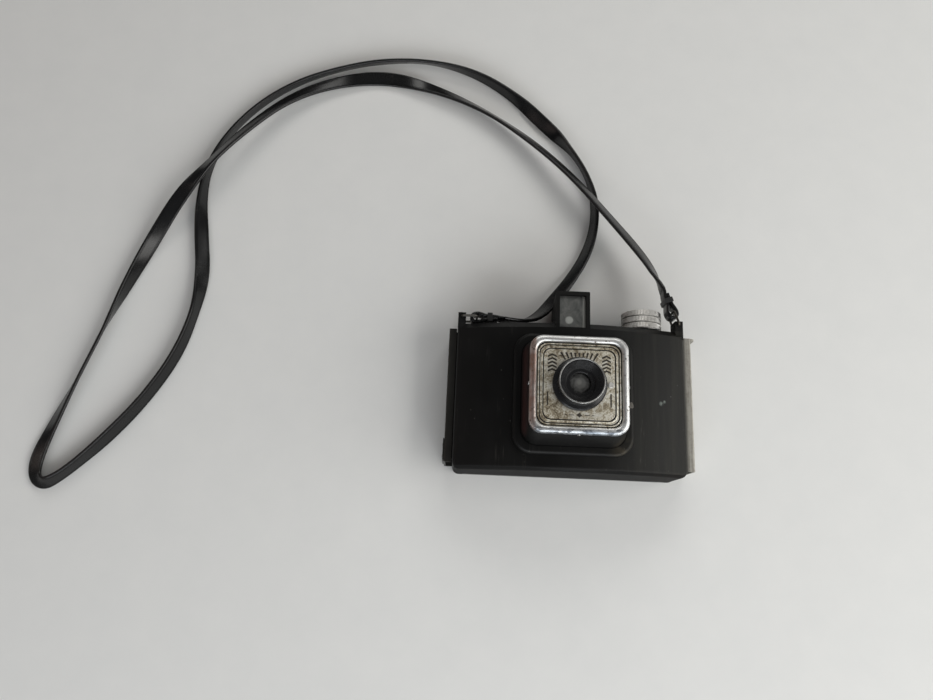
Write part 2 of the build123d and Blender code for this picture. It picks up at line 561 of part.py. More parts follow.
with BuildPart() as spool_pivots:
    for x, wall, direction in (
        (SPOOL_X, BODY_BOTTOM + WALL, 1),
        (-SPOOL_X, BODY_BOTTOM + WALL, 1),
        (-SPOOL_X, BODY_TOP - WALL, -1),
    ):
        reach = SPOOL_HALF_L - 2.5
        cross_rod(x, sorted((wall, wall + direction * 1.0)), SPOOL_Z, 4.2)
        cross_rod(x, sorted((wall, -direction * reach)), SPOOL_Z, 2.1)
pieces["spool_pivots"] = spool_pivots

with BuildPart() as spool_core:
    cross_rod(SPOOL_X, (-SPOOL_HALF_L + 0.8, SPOOL_HALF_L - 0.8), SPOOL_Z, CORE_R)
    cross_rod(SPOOL_X, (-SPOOL_HALF_L, -SPOOL_HALF_L + 5.0), SPOOL_Z, 2.2, Mode.SUBTRACT)
    cross_rod(SPOOL_X, (SPOOL_HALF_L - 5.0, SPOOL_HALF_L), SPOOL_Z, 2.3, Mode.SUBTRACT)
    block((SPOOL_X - CORE_R - 1, SPOOL_X + CORE_R + 1), (-22.0, 18.0), (SPOOL_Z - 0.5, SPOOL_Z + 0.5),
          Mode.SUBTRACT)
pieces["spool_core"] = spool_core

with BuildPart() as spool_flanges:
    for y in ((-SPOOL_HALF_L, -SPOOL_HALF_L + 0.8), (SPOOL_HALF_L - 0.8, SPOOL_HALF_L)):
        cross_rod(SPOOL_X, y, SPOOL_Z, FLANGE_R)
        cross_rod(SPOOL_X, (y[0] - 1, y[1] + 1), SPOOL_Z, 2.3, Mode.SUBTRACT)
pieces["spool_flanges"] = spool_flanges

with BuildPart() as winding_shaft:
    cross_rod(SPOOL_X, (SPOOL_HALF_L + 0.4, 42.6), SPOOL_Z, SHAFT_R)
    block((SPOOL_X - 1.9, SPOOL_X + 1.9), (SPOOL_HALF_L - 3.0, SPOOL_HALF_L + 1),
          (SPOOL_Z - 0.6, SPOOL_Z + 0.6))
    cross_rod(SPOOL_X, (37.5, 43.0), SPOOL_Z, 0.85, Mode.SUBTRACT)
pieces["winding_shaft"] = winding_shaft

with BuildPart() as winding_knob:
    knob_plane = Plane(origin=(SPOOL_X, 0, SPOOL_Z), x_dir=(1, 0, 0), z_dir=(0, 0, 1))
    with BuildSketch(knob_plane):
        with BuildLine():
            Polyline(
                (SHAFT_R + FIT, KNOB_Y[0]),
                (KNOB_R - 0.4, KNOB_Y[0]),
                (KNOB_R, KNOB_Y[0] + 0.4),
                (KNOB_R, 38.0),
                (KNOB_R - 0.5, 38.25),
                (KNOB_R, 38.5),
                (KNOB_R, 41.2),
                (KNOB_R - 0.5, 41.45),
                (KNOB_R, 41.7),
                (KNOB_R, KNOB_Y[1] - 0.6),
                (KNOB_R - 0.6, KNOB_Y[1]),
                (2.5, KNOB_Y[1]),
                (2.5, 43.3),
                (1.0, 43.3),
                (1.0, 42.7),
                (SHAFT_R + FIT, 42.7),
                close=True,
            )
        make_face()
    revolve(axis=Axis(origin=(SPOOL_X, 0, SPOOL_Z), direction=(0, 1, 0)))
pieces["winding_knob"] = winding_knob

with BuildPart() as knob_screw:
    cross_rod(SPOOL_X, (38.0, 43.3), SPOOL_Z, 0.8)
    cross_rod(SPOOL_X, (43.3, 44.5), SPOOL_Z, 2.3)
    block((SPOOL_X - 3, SPOOL_X + 3), (44.0, 45.0), (SPOOL_Z - 0.3, SPOOL_Z + 0.3), Mode.SUBTRACT)
pieces["knob_screw"] = knob_screw

with BuildPart() as knob_bush:
    cross_rod(SPOOL_X, (BODY_TOP - WALL, BOSS_TOP), SPOOL_Z, BUSH_R)
    cross_rod(SPOOL_X, (BODY_TOP - WALL - 0.9, BODY_TOP - WALL), SPOOL_Z, 5.0)
    cross_rod(SPOOL_X, (BODY_TOP - WALL - 2, BOSS_TOP + 1), SPOOL_Z, SHAFT_R + FIT, Mode.SUBTRACT)
pieces["knob_bush"] = knob_bush

with BuildPart() as clutch_spring:
    with BuildSketch(Plane.XY.offset(SPOOL_Z)):
        for y in (27.6, 28.25, 28.9):
            with Locations((SPOOL_X + 2.5, y)):
                Circle(0.34)
    revolve(axis=Axis(origin=(SPOOL_X, 0, SPOOL_Z), direction=(0, 1, 0)))
pieces["clutch_spring"] = clutch_spring

# ================================================================ rear cover
with BuildPart() as rear_cover:
    with BuildSketch(Plane.XY):
        with Locations((0, (BODY_TOP + BODY_BOTTOM) / 2)):
            Rectangle(2 * HALF_W, BODY_TOP - BODY_BOTTOM)
        with Locations(((COVER_EDGE[1] - COVER_EDGE[-1]) / 2, 0)):
            Rectangle(COVER_EDGE[1] + COVER_EDGE[-1], 2 * CHANNEL_HALF_L)
    extrude(amount=SHEET)
    fillet(rear_cover.edges().filter_by(Axis.Z).group_by(Axis.Y)[0], radius=CORNER_ROUND - 0.4)
    for side in (-1, 1):
        channel_y = (-CHANNEL_HALF_L, CHANNEL_HALF_L)
        edge_x = COVER_EDGE[side]
        block(sorted((side * (edge_x - SHEET), side * edge_x)), channel_y, (0, CHANNEL_TOP))
        block(sorted((side * LIP_X, side * edge_x)), channel_y, (CHANNEL_TOP - SHEET, CHANNEL_TOP))
    outer_bends = rear_cover.edges().filter_by(Axis.Y).filter_by(
        lambda edge: abs(edge.center().X) > COVER_EDGE[-1] - 0.01
        and (edge.center().Z < 0.01 or edge.center().Z > CHANNEL_TOP - 0.01)
    )
    fillet(outer_bends, radius=0.7)
    block((-48.0, 48.0), (BODY_BOTTOM, BODY_BOTTOM + SHEET), (0, 3.0))
    # thumb tab at the top of the right-hand channel
    block((COVER_EDGE[1] - 0.4, TAB_X), (CHANNEL_HALF_L - SHEET, CHANNEL_HALF_L), (10.0, CHANNEL_TOP - 0.7))
    tab_corner = rear_cover.edges().filter_by(Axis.Y).filter_by(lambda edge: edge.center().X > TAB_X - 0.1)
    fillet(tab_corner, radius=1.6)
    for x in (-WINDOW_X, WINDOW_X):
        rod(x, 0, (-1, 2), WINDOW_R, Mode.SUBTRACT)
    # rivet holes for the catch
    for y in CATCH_RIVET_Y:
        with Locations(Location((-COVER_EDGE[-1], y, CATCH_RIVET_Z), (0, 90, 0))):
            Cylinder(0.55, 4.0, mode=Mode.SUBTRACT)
pieces["rear_cover"] = rear_cover

with BuildPart() as red_windows:
    for x in (-WINDOW_X, WINDOW_X):
        rod(x, 0, (SHEET, SHEET + 0.4), WINDOW_R + 1.4)
pieces["red_windows"] = red_windows

with BuildPart() as window_retainers:
    for x in (-WINDOW_X, WINDOW_X):
        rod(x, 0, (SHEET, SHEET + 0.9), WINDOW_R + 2.6)
        rod(x, 0, (SHEET - 1, SHEET + 0.4), WINDOW_R + 1.45, Mode.SUBTRACT)
        rod(x, 0, (SHEET, SHEET + 2), WINDOW_R, Mode.SUBTRACT)
pieces["window_retainers"] = window_retainers

with BuildPart() as cover_catch:
    block((-COVER_EDGE[-1] - 0.6, -COVER_EDGE[-1]), (-31.2, -20.6), (6.5, 19.6))
    fillet(cover_catch.edges().filter_by(Axis.X), radius=1.0)
    for y in CATCH_RIVET_Y:
        with Locations(Location((-COVER_EDGE[-1], y, CATCH_RIVET_Z), (0, 90, 0))):
            Cylinder(0.55, 4.0, mode=Mode.SUBTRACT)
pieces["cover_catch"] = cover_catch

with BuildPart() as catch_rivets:
    for y in CATCH_RIVET_Y:
        with Locations(Location((-COVER_EDGE[-1] + 0.1, y, CATCH_RIVET_Z), (0, 90, 0))):
            Cylinder(0.5, 1.8)
        with Locations(Location((-COVER_EDGE[-1] - 0.8, y, CATCH_RIVET_Z), (0, 90, 0))):
            Cylinder(1.0, 0.4)
pieces["catch_rivets"] = catch_rivets

# ================================================================ strap
strap_ends = {}
for name, side in (("left", -1), ("right", 1)):
    angle = math.radians(LINK_ANGLES[name])
    link_plane = Plane(
        origin=(side * LUG_HOLE[0], LUG_HOLE[1], LINK_Z),
        x_dir=(math.cos(angle), math.sin(angle), 0),
        z_dir=(math.sin(angle), -math.cos(angle), 0),
    )
    with BuildPart() as link:
        with BuildLine(link_plane):
            loop_path = FilletPolyline(
                (0, -LINK_HALF), (LINK_REACH, -LINK_HALF), (LINK_REACH, LINK_HALF), (0, LINK_HALF),
                radius=1.0, close=True,
            )
        with BuildSketch(Plane(origin=loop_path @ 0, z_dir=loop_path % 0)):
            Circle(LINK_WIRE_R)
        sweep(transition=Transition.ROUND)
    pieces[f"strap_link_{name}"] = link

    end_plane = Plane(
        origin=link_plane.from_local_coords((LINK_REACH, 0, 0)),
        x_dir=link_plane.x_dir,
        z_dir=(0, 0, 1),
    )
    strap_ends[name] = end_plane
    with BuildPart() as strap_end:
        with BuildSketch(end_plane.offset(-STRAP_W / 2)):
            Circle(2.4)
            with Locations((STRAP_END_L / 2, 0)):
                Rectangle(STRAP_END_L, 2 * STRAP_T)
            Circle(1.4, mode=Mode.SUBTRACT)
        extrude(amount=STRAP_W)
    pieces[f"strap_end_{name}"] = strap_end

with BuildPart() as strap_crimps:
    for end_plane in strap_ends.values():
        with BuildSketch(end_plane.offset(-STRAP_W / 2 - 0.3)) as sleeve:
            with Locations((6.2, 0)):
                RectangleRounded(2.4, 2 * STRAP_T + 0.6, 0.25)
        extrude(sleeve.sketch, amount=STRAP_W + 0.6)
        with BuildSketch(end_plane.offset(-STRAP_W / 2)) as passage:
            with Locations((6.2, 0)):
                Rectangle(6.0, 2 * STRAP_T)
        extrude(passage.sketch, amount=STRAP_W, mode=Mode.SUBTRACT)
pieces["strap_crimps"] = strap_crimps


def corner_radii(points):
    """The largest tangent arc at each corner of a route: 0.45 of the shorter run each way."""
    radii = []
    for before, corner, after in zip(points, points[1:], points[2:]):
        turn = (corner - before).get_angle(after - corner)
        shorter = min((corner - before).length, (after - corner).length)
        radii.append(0.45 * shorter / math.tan(math.radians(turn) / 2))
    return radii


with BuildPart() as strap:
    route = [strap_ends["left"].from_local_coords(Vector(STRAP_END_L, 0, 0))]
    route += [Vector(*point) for point in STRAP_ROUTE]
    route += [strap_ends["right"].from_local_coords(Vector(STRAP_END_L, 0, 0))]
    strap_radii = corner_radii(route)
    with BuildLine():
        strap_path = FilletPolyline(*route, radius=strap_radii)
    with BuildSketch(Plane(origin=strap_path @ 0, z_dir=strap_path % 0)):
        Circle(STRAP_TUBE_R)
    sweep()
pieces["strap"] = strap
print("strap radii", [round(radius, 1) for radius in strap_radii])
print("strap length", round(strap_path.length, 1))
print("strap volume over section x length",
      round(strap.part.volume / (math.pi * STRAP_TUBE_R**2 * strap_path.length), 4))

for name, piece in pieces.items():
    piece.part.label = name
    export_step(piece.part, f"parts/{name}.step")
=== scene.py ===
import math

import bmesh
import bpy
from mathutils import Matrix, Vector, noise


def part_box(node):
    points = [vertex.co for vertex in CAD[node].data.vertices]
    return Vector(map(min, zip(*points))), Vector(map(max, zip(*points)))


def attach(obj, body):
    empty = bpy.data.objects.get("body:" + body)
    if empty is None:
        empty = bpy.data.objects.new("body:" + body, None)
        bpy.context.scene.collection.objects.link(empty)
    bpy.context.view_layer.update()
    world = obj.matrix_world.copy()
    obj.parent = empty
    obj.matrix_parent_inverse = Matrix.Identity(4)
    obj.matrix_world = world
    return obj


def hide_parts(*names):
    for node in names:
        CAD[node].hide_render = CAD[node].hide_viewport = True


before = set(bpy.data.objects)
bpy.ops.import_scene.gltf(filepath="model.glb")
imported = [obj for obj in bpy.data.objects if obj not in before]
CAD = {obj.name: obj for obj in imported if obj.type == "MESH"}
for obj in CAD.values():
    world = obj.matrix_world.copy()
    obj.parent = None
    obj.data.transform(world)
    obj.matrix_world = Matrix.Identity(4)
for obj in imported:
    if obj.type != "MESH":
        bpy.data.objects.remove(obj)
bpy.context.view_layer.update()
scene = bpy.context.scene
MM = 0.001
TAU = 2 * math.pi


# ---------------------------------------------------------------- camera and light
CAMERA_PLACE = (-0.0485, -0.0682, 0.3545)
CAMERA_TURN = (0.261, -0.011, 0.041)
SENSOR_WIDTH = 36.0
FOCAL_LENGTH = 28.29
WORLD_COLOUR = (0.94, 0.97, 1.0, 1.0)
WORLD_STRENGTH = 0.05

# name, place, point aimed at, size, power in watts, colour
LIGHTS = [
    ("light_window", (0.85, -0.10, 0.60), (0.0, 0.0, 0.0), (0.8, 0.8), 6.2, (1.0, 0.985, 0.955)),
    ("light_front", (-0.05, -0.95, 0.55), (0.0, -0.1, 0.0), (1.3, 0.5), 7.4, (0.94, 0.97, 1.0)),
    ("light_corner", (0.6, -0.7, 0.6), (0.0, 0.0, 0.0), (0.7, 0.7), 3.2, (1.0, 0.99, 0.96)),
    ("light_left", (-0.85, 0.10, 0.60), (-0.1, 0.05, 0.0), (0.6, 0.6), 0.5, (1.0, 0.78, 0.70)),
    ("light_back", (0.1, 1.0, 0.75), (0.0, 0.1, 0.0), (1.0, 0.5), 4.2, (1.0, 0.99, 0.96)),
]


def make_camera():
    data = bpy.data.cameras.new("camera")
    data.sensor_fit = "HORIZONTAL"
    data.sensor_width = SENSOR_WIDTH
    data.lens = FOCAL_LENGTH
    data.clip_start = 0.01
    data.clip_end = 20.0
    camera = bpy.data.objects.new("camera", data)
    camera.location = CAMERA_PLACE
    camera.rotation_euler = CAMERA_TURN
    scene.collection.objects.link(camera)
    scene.camera = camera


def make_light(name, where, target, size, power, colour):
    data = bpy.data.lights.new(name, "AREA")
    data.shape = "RECTANGLE"
    data.size, data.size_y = size
    data.energy = power
    data.color = colour
    light = bpy.data.objects.new(name, data)
    light.location = where
    aim = Vector(target) - Vector(where)
    light.rotation_euler = aim.to_track_quat("-Z", "Y").to_euler()
    scene.collection.objects.link(light)


def make_world():
    world = bpy.data.worlds.new("studio")
    scene.world = world
    world.use_nodes = True
    background = world.node_tree.nodes["Background"]
    background.inputs["Color"].default_value = WORLD_COLOUR
    background.inputs["Strength"].default_value = WORLD_STRENGTH


make_camera()
scene.view_settings.view_transform = "Standard"
for light in LIGHTS:
    make_light(*light)
make_world()


# ---------------------------------------------------------------- materials
class Shader:
    """A Principled material with a few short ways to make its nodes."""

    def __init__(self, name, colour, **sockets):
        self.material = bpy.data.materials.new(name)
        self.material.use_nodes = True
        self.tree = self.material.node_tree
        self.bsdf = self.tree.nodes["Principled BSDF"]
        self.bsdf.inputs["Base Color"].default_value = (*colour, 1.0)
        for socket, value in sockets.items():
            label = socket.replace("_", " ").title().replace("Ior", "IOR")
            self.bsdf.inputs[label].default_value = value
        self.coordinates = self.tree.nodes.new("ShaderNodeTexCoord").outputs["Object"]
        self.bumps = None

    def node(self, kind, **properties):
        made = self.tree.nodes.new(kind)
        for key, value in properties.items():
            setattr(made, key, value)
        return made

    def feed(self, socket, value):
        if isinstance(value, bpy.types.NodeSocket):
            self.tree.links.new(value, socket)
        elif isinstance(value, tuple):
            opaque = len(value) == 3 and len(socket.default_value) == 4
            socket.default_value = (*value, 1.0) if opaque else value
        else:
            socket.default_value = value

    def point(self, stretch=(1, 1, 1), turn=0.0):
        """The object's own coordinates, scaled and turned about Z."""
        made = self.node("ShaderNodeMapping")
        self.feed(made.inputs["Vector"], self.coordinates)
        made.inputs["Scale"].default_value = stretch
        made.inputs["Rotation"].default_value = (0, 0, turn)
        return made.outputs["Vector"]

    def noise(self, per_metre, detail=4.0, roughness=0.55, stretch=(1, 1, 1), turn=0.0, distortion=0.0):
        """A noise field with lumps of about 1 / per_metre, drawn out where `stretch` is small."""
        made = self.node("ShaderNodeTexNoise")
        self.feed(made.inputs["Vector"], self.point(stretch, turn))
        made.inputs["Scale"].default_value = per_metre
        made.inputs["Detail"].default_value = detail
        made.inputs["Roughness"].default_value = roughness
        made.inputs["Distortion"].default_value = distortion
        return made.outputs["Fac"]

    def specks(self, per_metre, size):
        """1 in small round spots, 0 elsewhere."""
        made = self.node("ShaderNodeTexVoronoi")
        self.feed(made.inputs["Vector"], self.point())
        made.inputs["Scale"].default_value = per_metre
        return self.ramp(made.outputs["Distance"], [(size * 0.4, 1.0), (size, 0.0)])

    def ramp(self, value, stops):
        """Colours or grey levels at positions from 0 to 1."""
        made = self.node("ShaderNodeValToRGB")
        self.feed(made.inputs["Fac"], value)
        elements = made.color_ramp.elements
        while len(elements) < len(stops):
            elements.new(0.5)
        for element, (position, level) in zip(elements, stops):
            element.position = position
            element.color = (*level, 1.0) if isinstance(level, tuple) else (level, level, level, 1.0)
        return made.outputs["Color"]

    def mix(self, factor, first, second):
        """A colour mix: its inputs 6 and 7 and its output 2 are the colours."""
        made = self.node("ShaderNodeMix", data_type="RGBA")
        self.feed(made.inputs[0], factor)
        self.feed(made.inputs[6], first)
        self.feed(made.inputs[7], second)
        return made.outputs[2]

    def math(self, operation, first, second, clamp=False):
        made = self.node("ShaderNodeMath", operation=operation, use_clamp=clamp)
        self.feed(made.inputs[0], first)
        self.feed(made.inputs[1], second)
        return made.outputs[0]

    def axis(self, letter, low, high):
        """0 at `low` millimetres along an axis, 1 at `high`."""
        split = self.node("ShaderNodeSeparateXYZ")
        self.feed(split.inputs[0], self.coordinates)
        made = self.node("ShaderNodeMapRange", interpolation_type="SMOOTHSTEP")
        self.feed(made.inputs["Value"], split.outputs[letter])
        made.inputs["From Min"].default_value = low * MM
        made.inputs["From Max"].default_value = high * MM
        return made.outputs["Result"]

    def times(self, first, second):
        return self.math("MULTIPLY", first, second)

    def spot(self, x, y, inner, outer):
        """1 within `inner` millimetres of a point on the face, 0 beyond `outer`."""
        away = self.node("ShaderNodeVectorMath", operation="DISTANCE")
        self.feed(away.inputs[0], self.point((1, 1, 0)))
        away.inputs[1].default_value = (x * MM, y * MM, 0.0)
        made = self.node("ShaderNodeMapRange", interpolation_type="SMOOTHSTEP")
        self.feed(made.inputs["Value"], away.outputs["Value"])
        made.inputs["From Min"].default_value = outer * MM
        made.inputs["From Max"].default_value = inner * MM
        return made.outputs["Result"]

    def colour(self, value):
        self.feed(self.bsdf.inputs["Base Color"], value)

    def rough(self, value, low, high):
        self.feed(self.bsdf.inputs["Roughness"], self.ramp(value, [(0.3, low), (0.7, high)]))

    def bump(self, height, millimetres, strength=1.0):
        """Adds a bump on top of those before it."""
        made = self.node("ShaderNodeBump")
        made.inputs["Distance"].default_value = millimetres * MM
        made.inputs["Strength"].default_value = strength
        self.feed(made.inputs["Height"], height)
        if self.bumps is not None:
            self.feed(made.inputs["Normal"], self.bumps)
        self.bumps = made.outputs["Normal"]
        self.feed(self.bsdf.inputs["Normal"], self.bumps)

    def scratches(self, per_metre, turn, thin=0.03):
        """Long fine lines, 1 on a line."""
        field = self.noise(per_metre, 3.0, 0.5, (1.0, 0.03, 0.2), turn=turn, distortion=0.3)
        return self.ramp(field, [(0.5 - thin, 0.0), (0.5, 1.0), (0.5 + thin, 0.0)])


def bakelite(name, left_wall_reflection=False):
    """Satin black moulding: a painted sheen at the right, a painted highlight on the plinth's corner,
    chipped and dusty.
    """
    s = Shader(name, (0.006, 0.006, 0.006), specular_ior_level=0.21)
    cloud = s.noise(28, 3.0, 0.6)
    streak = s.noise(240, 4.0, 0.6, (1.0, 0.06, 1.0))
    tone = s.mix(cloud, (0.0032, 0.0033, 0.0034), (0.0072, 0.0070, 0.0065))
    # painted sheen: the tone is lighter towards the right, broken into streaks
    right = s.times(s.axis("X", 8, 52), s.ramp(streak, [(0.4, 0.2), (0.65, 1.0)]))
    tone = s.mix(right, tone, (0.020, 0.0195, 0.016))
    lower_edge = s.times(s.axis("Y", -32.5, -35.0), s.axis("X", 14, 48))
    rust = s.times(lower_edge, s.ramp(s.noise(160, 5.0), [(0.45, 0.0), (0.65, 0.8)]))
    tone = s.mix(rust, tone, (0.022, 0.014, 0.010))
    # painted highlight: brownish patches on the plinth's lower right corner
    corner = s.times(s.times(s.axis("X", 14, 24), s.axis("Y", -18, -25)), s.axis("Z", 33.2, 34.2))
    corner_highlight = s.times(corner, s.ramp(s.noise(220, 4.0), [(0.4, 0.1), (0.6, 0.8)]))
    tone = s.mix(corner_highlight, tone, (0.060, 0.050, 0.034))
    chip = s.math("MAXIMUM", s.spot(40.9, -2.2, 0.5, 1.3), s.spot(42.5, -1.3, 0.4, 0.9))
    ragged = s.ramp(s.noise(900, 4.0), [(0.4, 0.1), (0.55, 1.0)])
    tone = s.mix(s.times(s.times(chip, s.axis("Z", 20, 21)), ragged), tone, (0.14, 0.16, 0.145))
    dust = s.times(s.specks(330, 0.11), s.ramp(s.noise(70, 2.0), [(0.5, 0.0), (0.62, 0.5)]))
    tone = s.mix(dust, tone, (0.16, 0.16, 0.145))
    lines = s.times(s.scratches(420, 0.35, 0.012), s.ramp(s.noise(60, 2.0), [(0.48, 0.0), (0.7, 0.5)]))
    tone = s.mix(lines, tone, (0.06, 0.057, 0.052))
    # painted shade: the side walls are darkened low down, near the floor, and made rougher there
    walls = s.math("MAXIMUM", s.axis("Y", -33.4, -34.0), s.axis("Y", 33.0, 33.9))
    under = s.times(s.axis("Z", 33, 31), walls)
    tone = s.mix(s.times(under, 0.7), tone, (0.002, 0.002, 0.002))
    # painted reflection: a reddish tint on the lens box's left wall
    if left_wall_reflection:
        left = s.times(s.axis("X", -20.5, -23), s.axis("Z", 34, 42))
        tone = s.mix(left, tone, (0.05, 0.02, 0.018))
    s.colour(tone)
    satin = s.ramp(s.mix(0.5, cloud, streak), [(0.3, 0.38), (0.7, 0.56)])
    s.feed(s.bsdf.inputs["Roughness"], s.mix(under, satin, (0.78, 0.78, 0.78)))
    s.bump(s.noise(1500, 3.0, 0.6), 0.012)
    s.bump(lines, 0.02, 0.6)
    return s.material


def aged_tin():
    """Dull plated metal with brown patina, more of it at the top and at the lower left."""
    s = Shader("aged_tin", (0.5, 0.46, 0.38), metallic=0.6)
    blotch = s.noise(330, 7.0, 0.68, distortion=0.8)
    fine = s.noise(1500, 5.0, 0.6)
    low_left = s.times(s.axis("X", 6, -14), s.axis("Y", 6, -15))
    mottle = s.mix(0.35, blotch, fine)
    stain = s.math("ADD", s.times(low_left, 0.07), mottle, clamp=True)
    stain = s.math("ADD", s.times(s.axis("Y", 8, 17), 0.05), stain, clamp=True)
    s.colour(s.ramp(stain, [(0.40, (0.93, 0.91, 0.83)), (0.50, (0.70, 0.665, 0.56)),
                            (0.57, (0.38, 0.33, 0.24)), (0.68, (0.11, 0.085, 0.055))]))
    s.feed(s.bsdf.inputs["Roughness"], s.ramp(stain, [(0.4, 0.36), (0.62, 0.62)]))
    s.bump(blotch, 0.05, 0.6)
    s.bump(s.scratches(1300, 1.1), 0.02, 0.4)
    return s.material


def chrome(name, tone, reflection_tint, low, high):
    """Pitted plating. With a third argument above 0, its left side gets a painted brownish reflection and
    its foot a painted bluish reflection with dark marks.
    """
    s = Shader(name, tone, metallic=1.0)
    cloud = s.noise(120, 5.0, 0.62)
    pits = s.times(s.specks(620, 0.34), s.ramp(s.noise(150, 4.0), [(0.46, 0.0), (0.62, 0.95)]))
    body = s.mix(s.ramp(cloud, [(0.35, 0.0), (0.7, 0.6)]), tone, tuple(0.62 * level for level in tone))
    if reflection_tint:
        # painted reflection: brownish pink on the left side
        side = s.times(s.axis("X", -17.9, -19.2), s.ramp(cloud, [(0.30, 0.35), (0.6, reflection_tint)]))
        body = s.mix(side, body, (0.36, 0.215, 0.17))
        # painted reflection: bluish on the foot, from the cool light below
        foot = s.times(s.axis("Y", -18.5, -20.8), s.ramp(cloud, [(0.35, 0.2), (0.6, 0.8)]))
        body = s.mix(foot, body, (0.31, 0.37, 0.44))
        marks = s.ramp(s.noise(240, 5.0, 0.65, (1.0, 2.2, 1.0)), [(0.50, 0.0), (0.60, 0.85)])
        body = s.mix(s.times(s.axis("Y", -18.3, -19.4), marks), body, (0.07, 0.08, 0.10))
    s.colour(s.mix(pits, body, (0.09, 0.07, 0.055)))
    s.rough(s.mix(0.5, cloud, s.noise(900, 3.0)), low, high)
    s.bump(pits, 0.03, 0.5)
    s.bump(s.scratches(1000, 0.9), 0.012, 0.5)
    return s.material


def brushed(name, tone, low=0.28, high=0.5, stretch=(1, 0.05, 1), grime=(0.08, 0.07, 0.055)):
    """Bare metal with a fine grain and patches of grime."""
    s = Shader(name, tone, metallic=1.0)
    grain = s.noise(1400, 4.0, 0.6, stretch)
    cloud = s.noise(170, 6.0, 0.66)
    dirt = s.ramp(cloud, [(0.50, 0.0), (0.72, 0.85)])
    s.colour(s.mix(dirt, s.mix(grain, tuple(0.78 * level for level in tone), tone), grime))
    s.rough(s.mix(0.6, grain, cloud), low, high)
    s.bump(grain, 0.015, 0.6)
    return s.material


def enamelled_sheet():
    """Black enamel on sheet steel: bare and grey on the right-hand channel, chipped elsewhere."""
    s = Shader("enamelled_sheet", (0.015, 0.015, 0.015))
    cloud = s.noise(90, 6.0, 0.66, distortion=0.4)
    grain = s.noise(1200, 4.0, 0.6, (1, 0.06, 1))
    channel = s.times(s.axis("X", 53.6, 55.6), s.ramp(cloud, [(0.26, 0.8), (0.36, 1.0)]))
    chips = s.ramp(cloud, [(0.66, 0.0), (0.70, 1.0)])
    bare = s.math("MAXIMUM", channel, chips)
    wear = s.mix(0.55, s.noise(520, 8.0, 0.72), s.noise(1500, 4.0, 0.6, (1.0, 0.05, 0.4)))
    steel = s.ramp(wear, [(0.32, (0.22, 0.21, 0.185)), (0.5, (0.375, 0.36, 0.32)),
                          (0.68, (0.47, 0.455, 0.415))])
    enamel = s.mix(grain, (0.010, 0.010, 0.009), (0.024, 0.022, 0.018))
    s.colour(s.mix(bare, enamel, steel))
    s.feed(s.bsdf.inputs["Metallic"], s.times(bare, 0.8))
    gloss = s.ramp(cloud, [(0.3, 0.30), (0.7, 0.48)])
    s.feed(s.bsdf.inputs["Roughness"], s.mix(bare, gloss, (0.5, 0.5, 0.5)))
    s.bump(bare, 0.03, 0.7)
    s.bump(grain, 0.012, 0.5)
    return s.material


def black_paint(name, low, high, tone=(0.010, 0.010, 0.0105)):
    """Black paint with pale dust flecks, between two roughnesses."""
    s = Shader(name, tone, specular_ior_level=0.5)
    cloud = s.noise(200, 5.0, 0.6)
    fleck = s.times(s.specks(900, 0.2), s.ramp(s.noise(260, 3.0), [(0.55, 0.0), (0.7, 0.8)]))
    paint = s.mix(cloud, tone, tuple(2.2 * level for level in tone))
    s.colour(s.mix(fleck, paint, (0.12, 0.115, 0.105)))
    s.rough(cloud, low, high)
    s.bump(s.noise(2200, 3.0), 0.008, 0.6)
    return s.material


def brass():
    s = Shader("dull_brass", (0.55, 0.42, 0.2), metallic=1.0)
    cloud = s.noise(400, 6.0, 0.65)
    s.colour(s.ramp(cloud, [(0.35, (0.52, 0.40, 0.19)), (0.6, (0.33, 0.24, 0.11)),
                            (0.75, (0.12, 0.09, 0.05))]))
    s.rough(cloud, 0.28, 0.5)
    s.bump(cloud, 0.02, 0.5)
    return s.material


def glass(name, tone, alpha, roughness=0.05):
    """Coloured glass with greasy smears."""
    s = Shader(name, tone, alpha=alpha, specular_ior_level=0.5)
    smear = s.noise(300, 5.0, 0.6, distortion=1.0)
    pale = tuple(min(1.0, 1.8 * level) for level in tone)
    s.colour(s.mix(s.ramp(smear, [(0.45, 0.0), (0.75, 1.0)]), tone, pale))
    s.rough(smear, roughness, roughness + 0.12)
    s.bump(s.noise(90, 1.0), 0.01, 0.3)
    return s.material


def hazy_finder_glass():
    """Hazy old glass with a pale strip near its right edge and a painted pale spot of light where the
    eyepiece shows through.
    """
    s = Shader("finder_glass", (0.1, 0.105, 0.1), specular_ior_level=0.5)
    haze = s.noise(160, 4.0, 0.6, distortion=0.8)
    veil = s.ramp(haze, [(0.3, (0.075, 0.08, 0.08)), (0.55, (0.15, 0.155, 0.15)),
                         (0.75, (0.22, 0.22, 0.215))])
    upper = s.times(s.axis("Y", 44.5, 46.5), 0.6)
    veil = s.mix(upper, veil, (0.03, 0.028, 0.03))
    # painted light: a pale round spot where light comes through the eyepiece
    eyepiece = s.times(s.spot(-1.6, 34.7, 1.3, 2.2), s.ramp(haze, [(0.3, 0.75), (0.7, 1.0)]))
    veil = s.mix(eyepiece, veil, (0.46, 0.48, 0.46))
    # a pale strip near the right edge of the glass
    edge = s.times(s.axis("X", 4.5, 4.8), s.axis("X", 6.0, 5.7))
    s.colour(s.mix(edge, veil, (0.36, 0.37, 0.35)))
    s.feed(s.bsdf.inputs["Alpha"], s.ramp(haze, [(0.3, 0.86), (0.7, 0.96)]))
    s.rough(haze, 0.05, 0.16)
    s.bump(s.noise(90, 1.0), 0.01, 0.3)
    return s.material


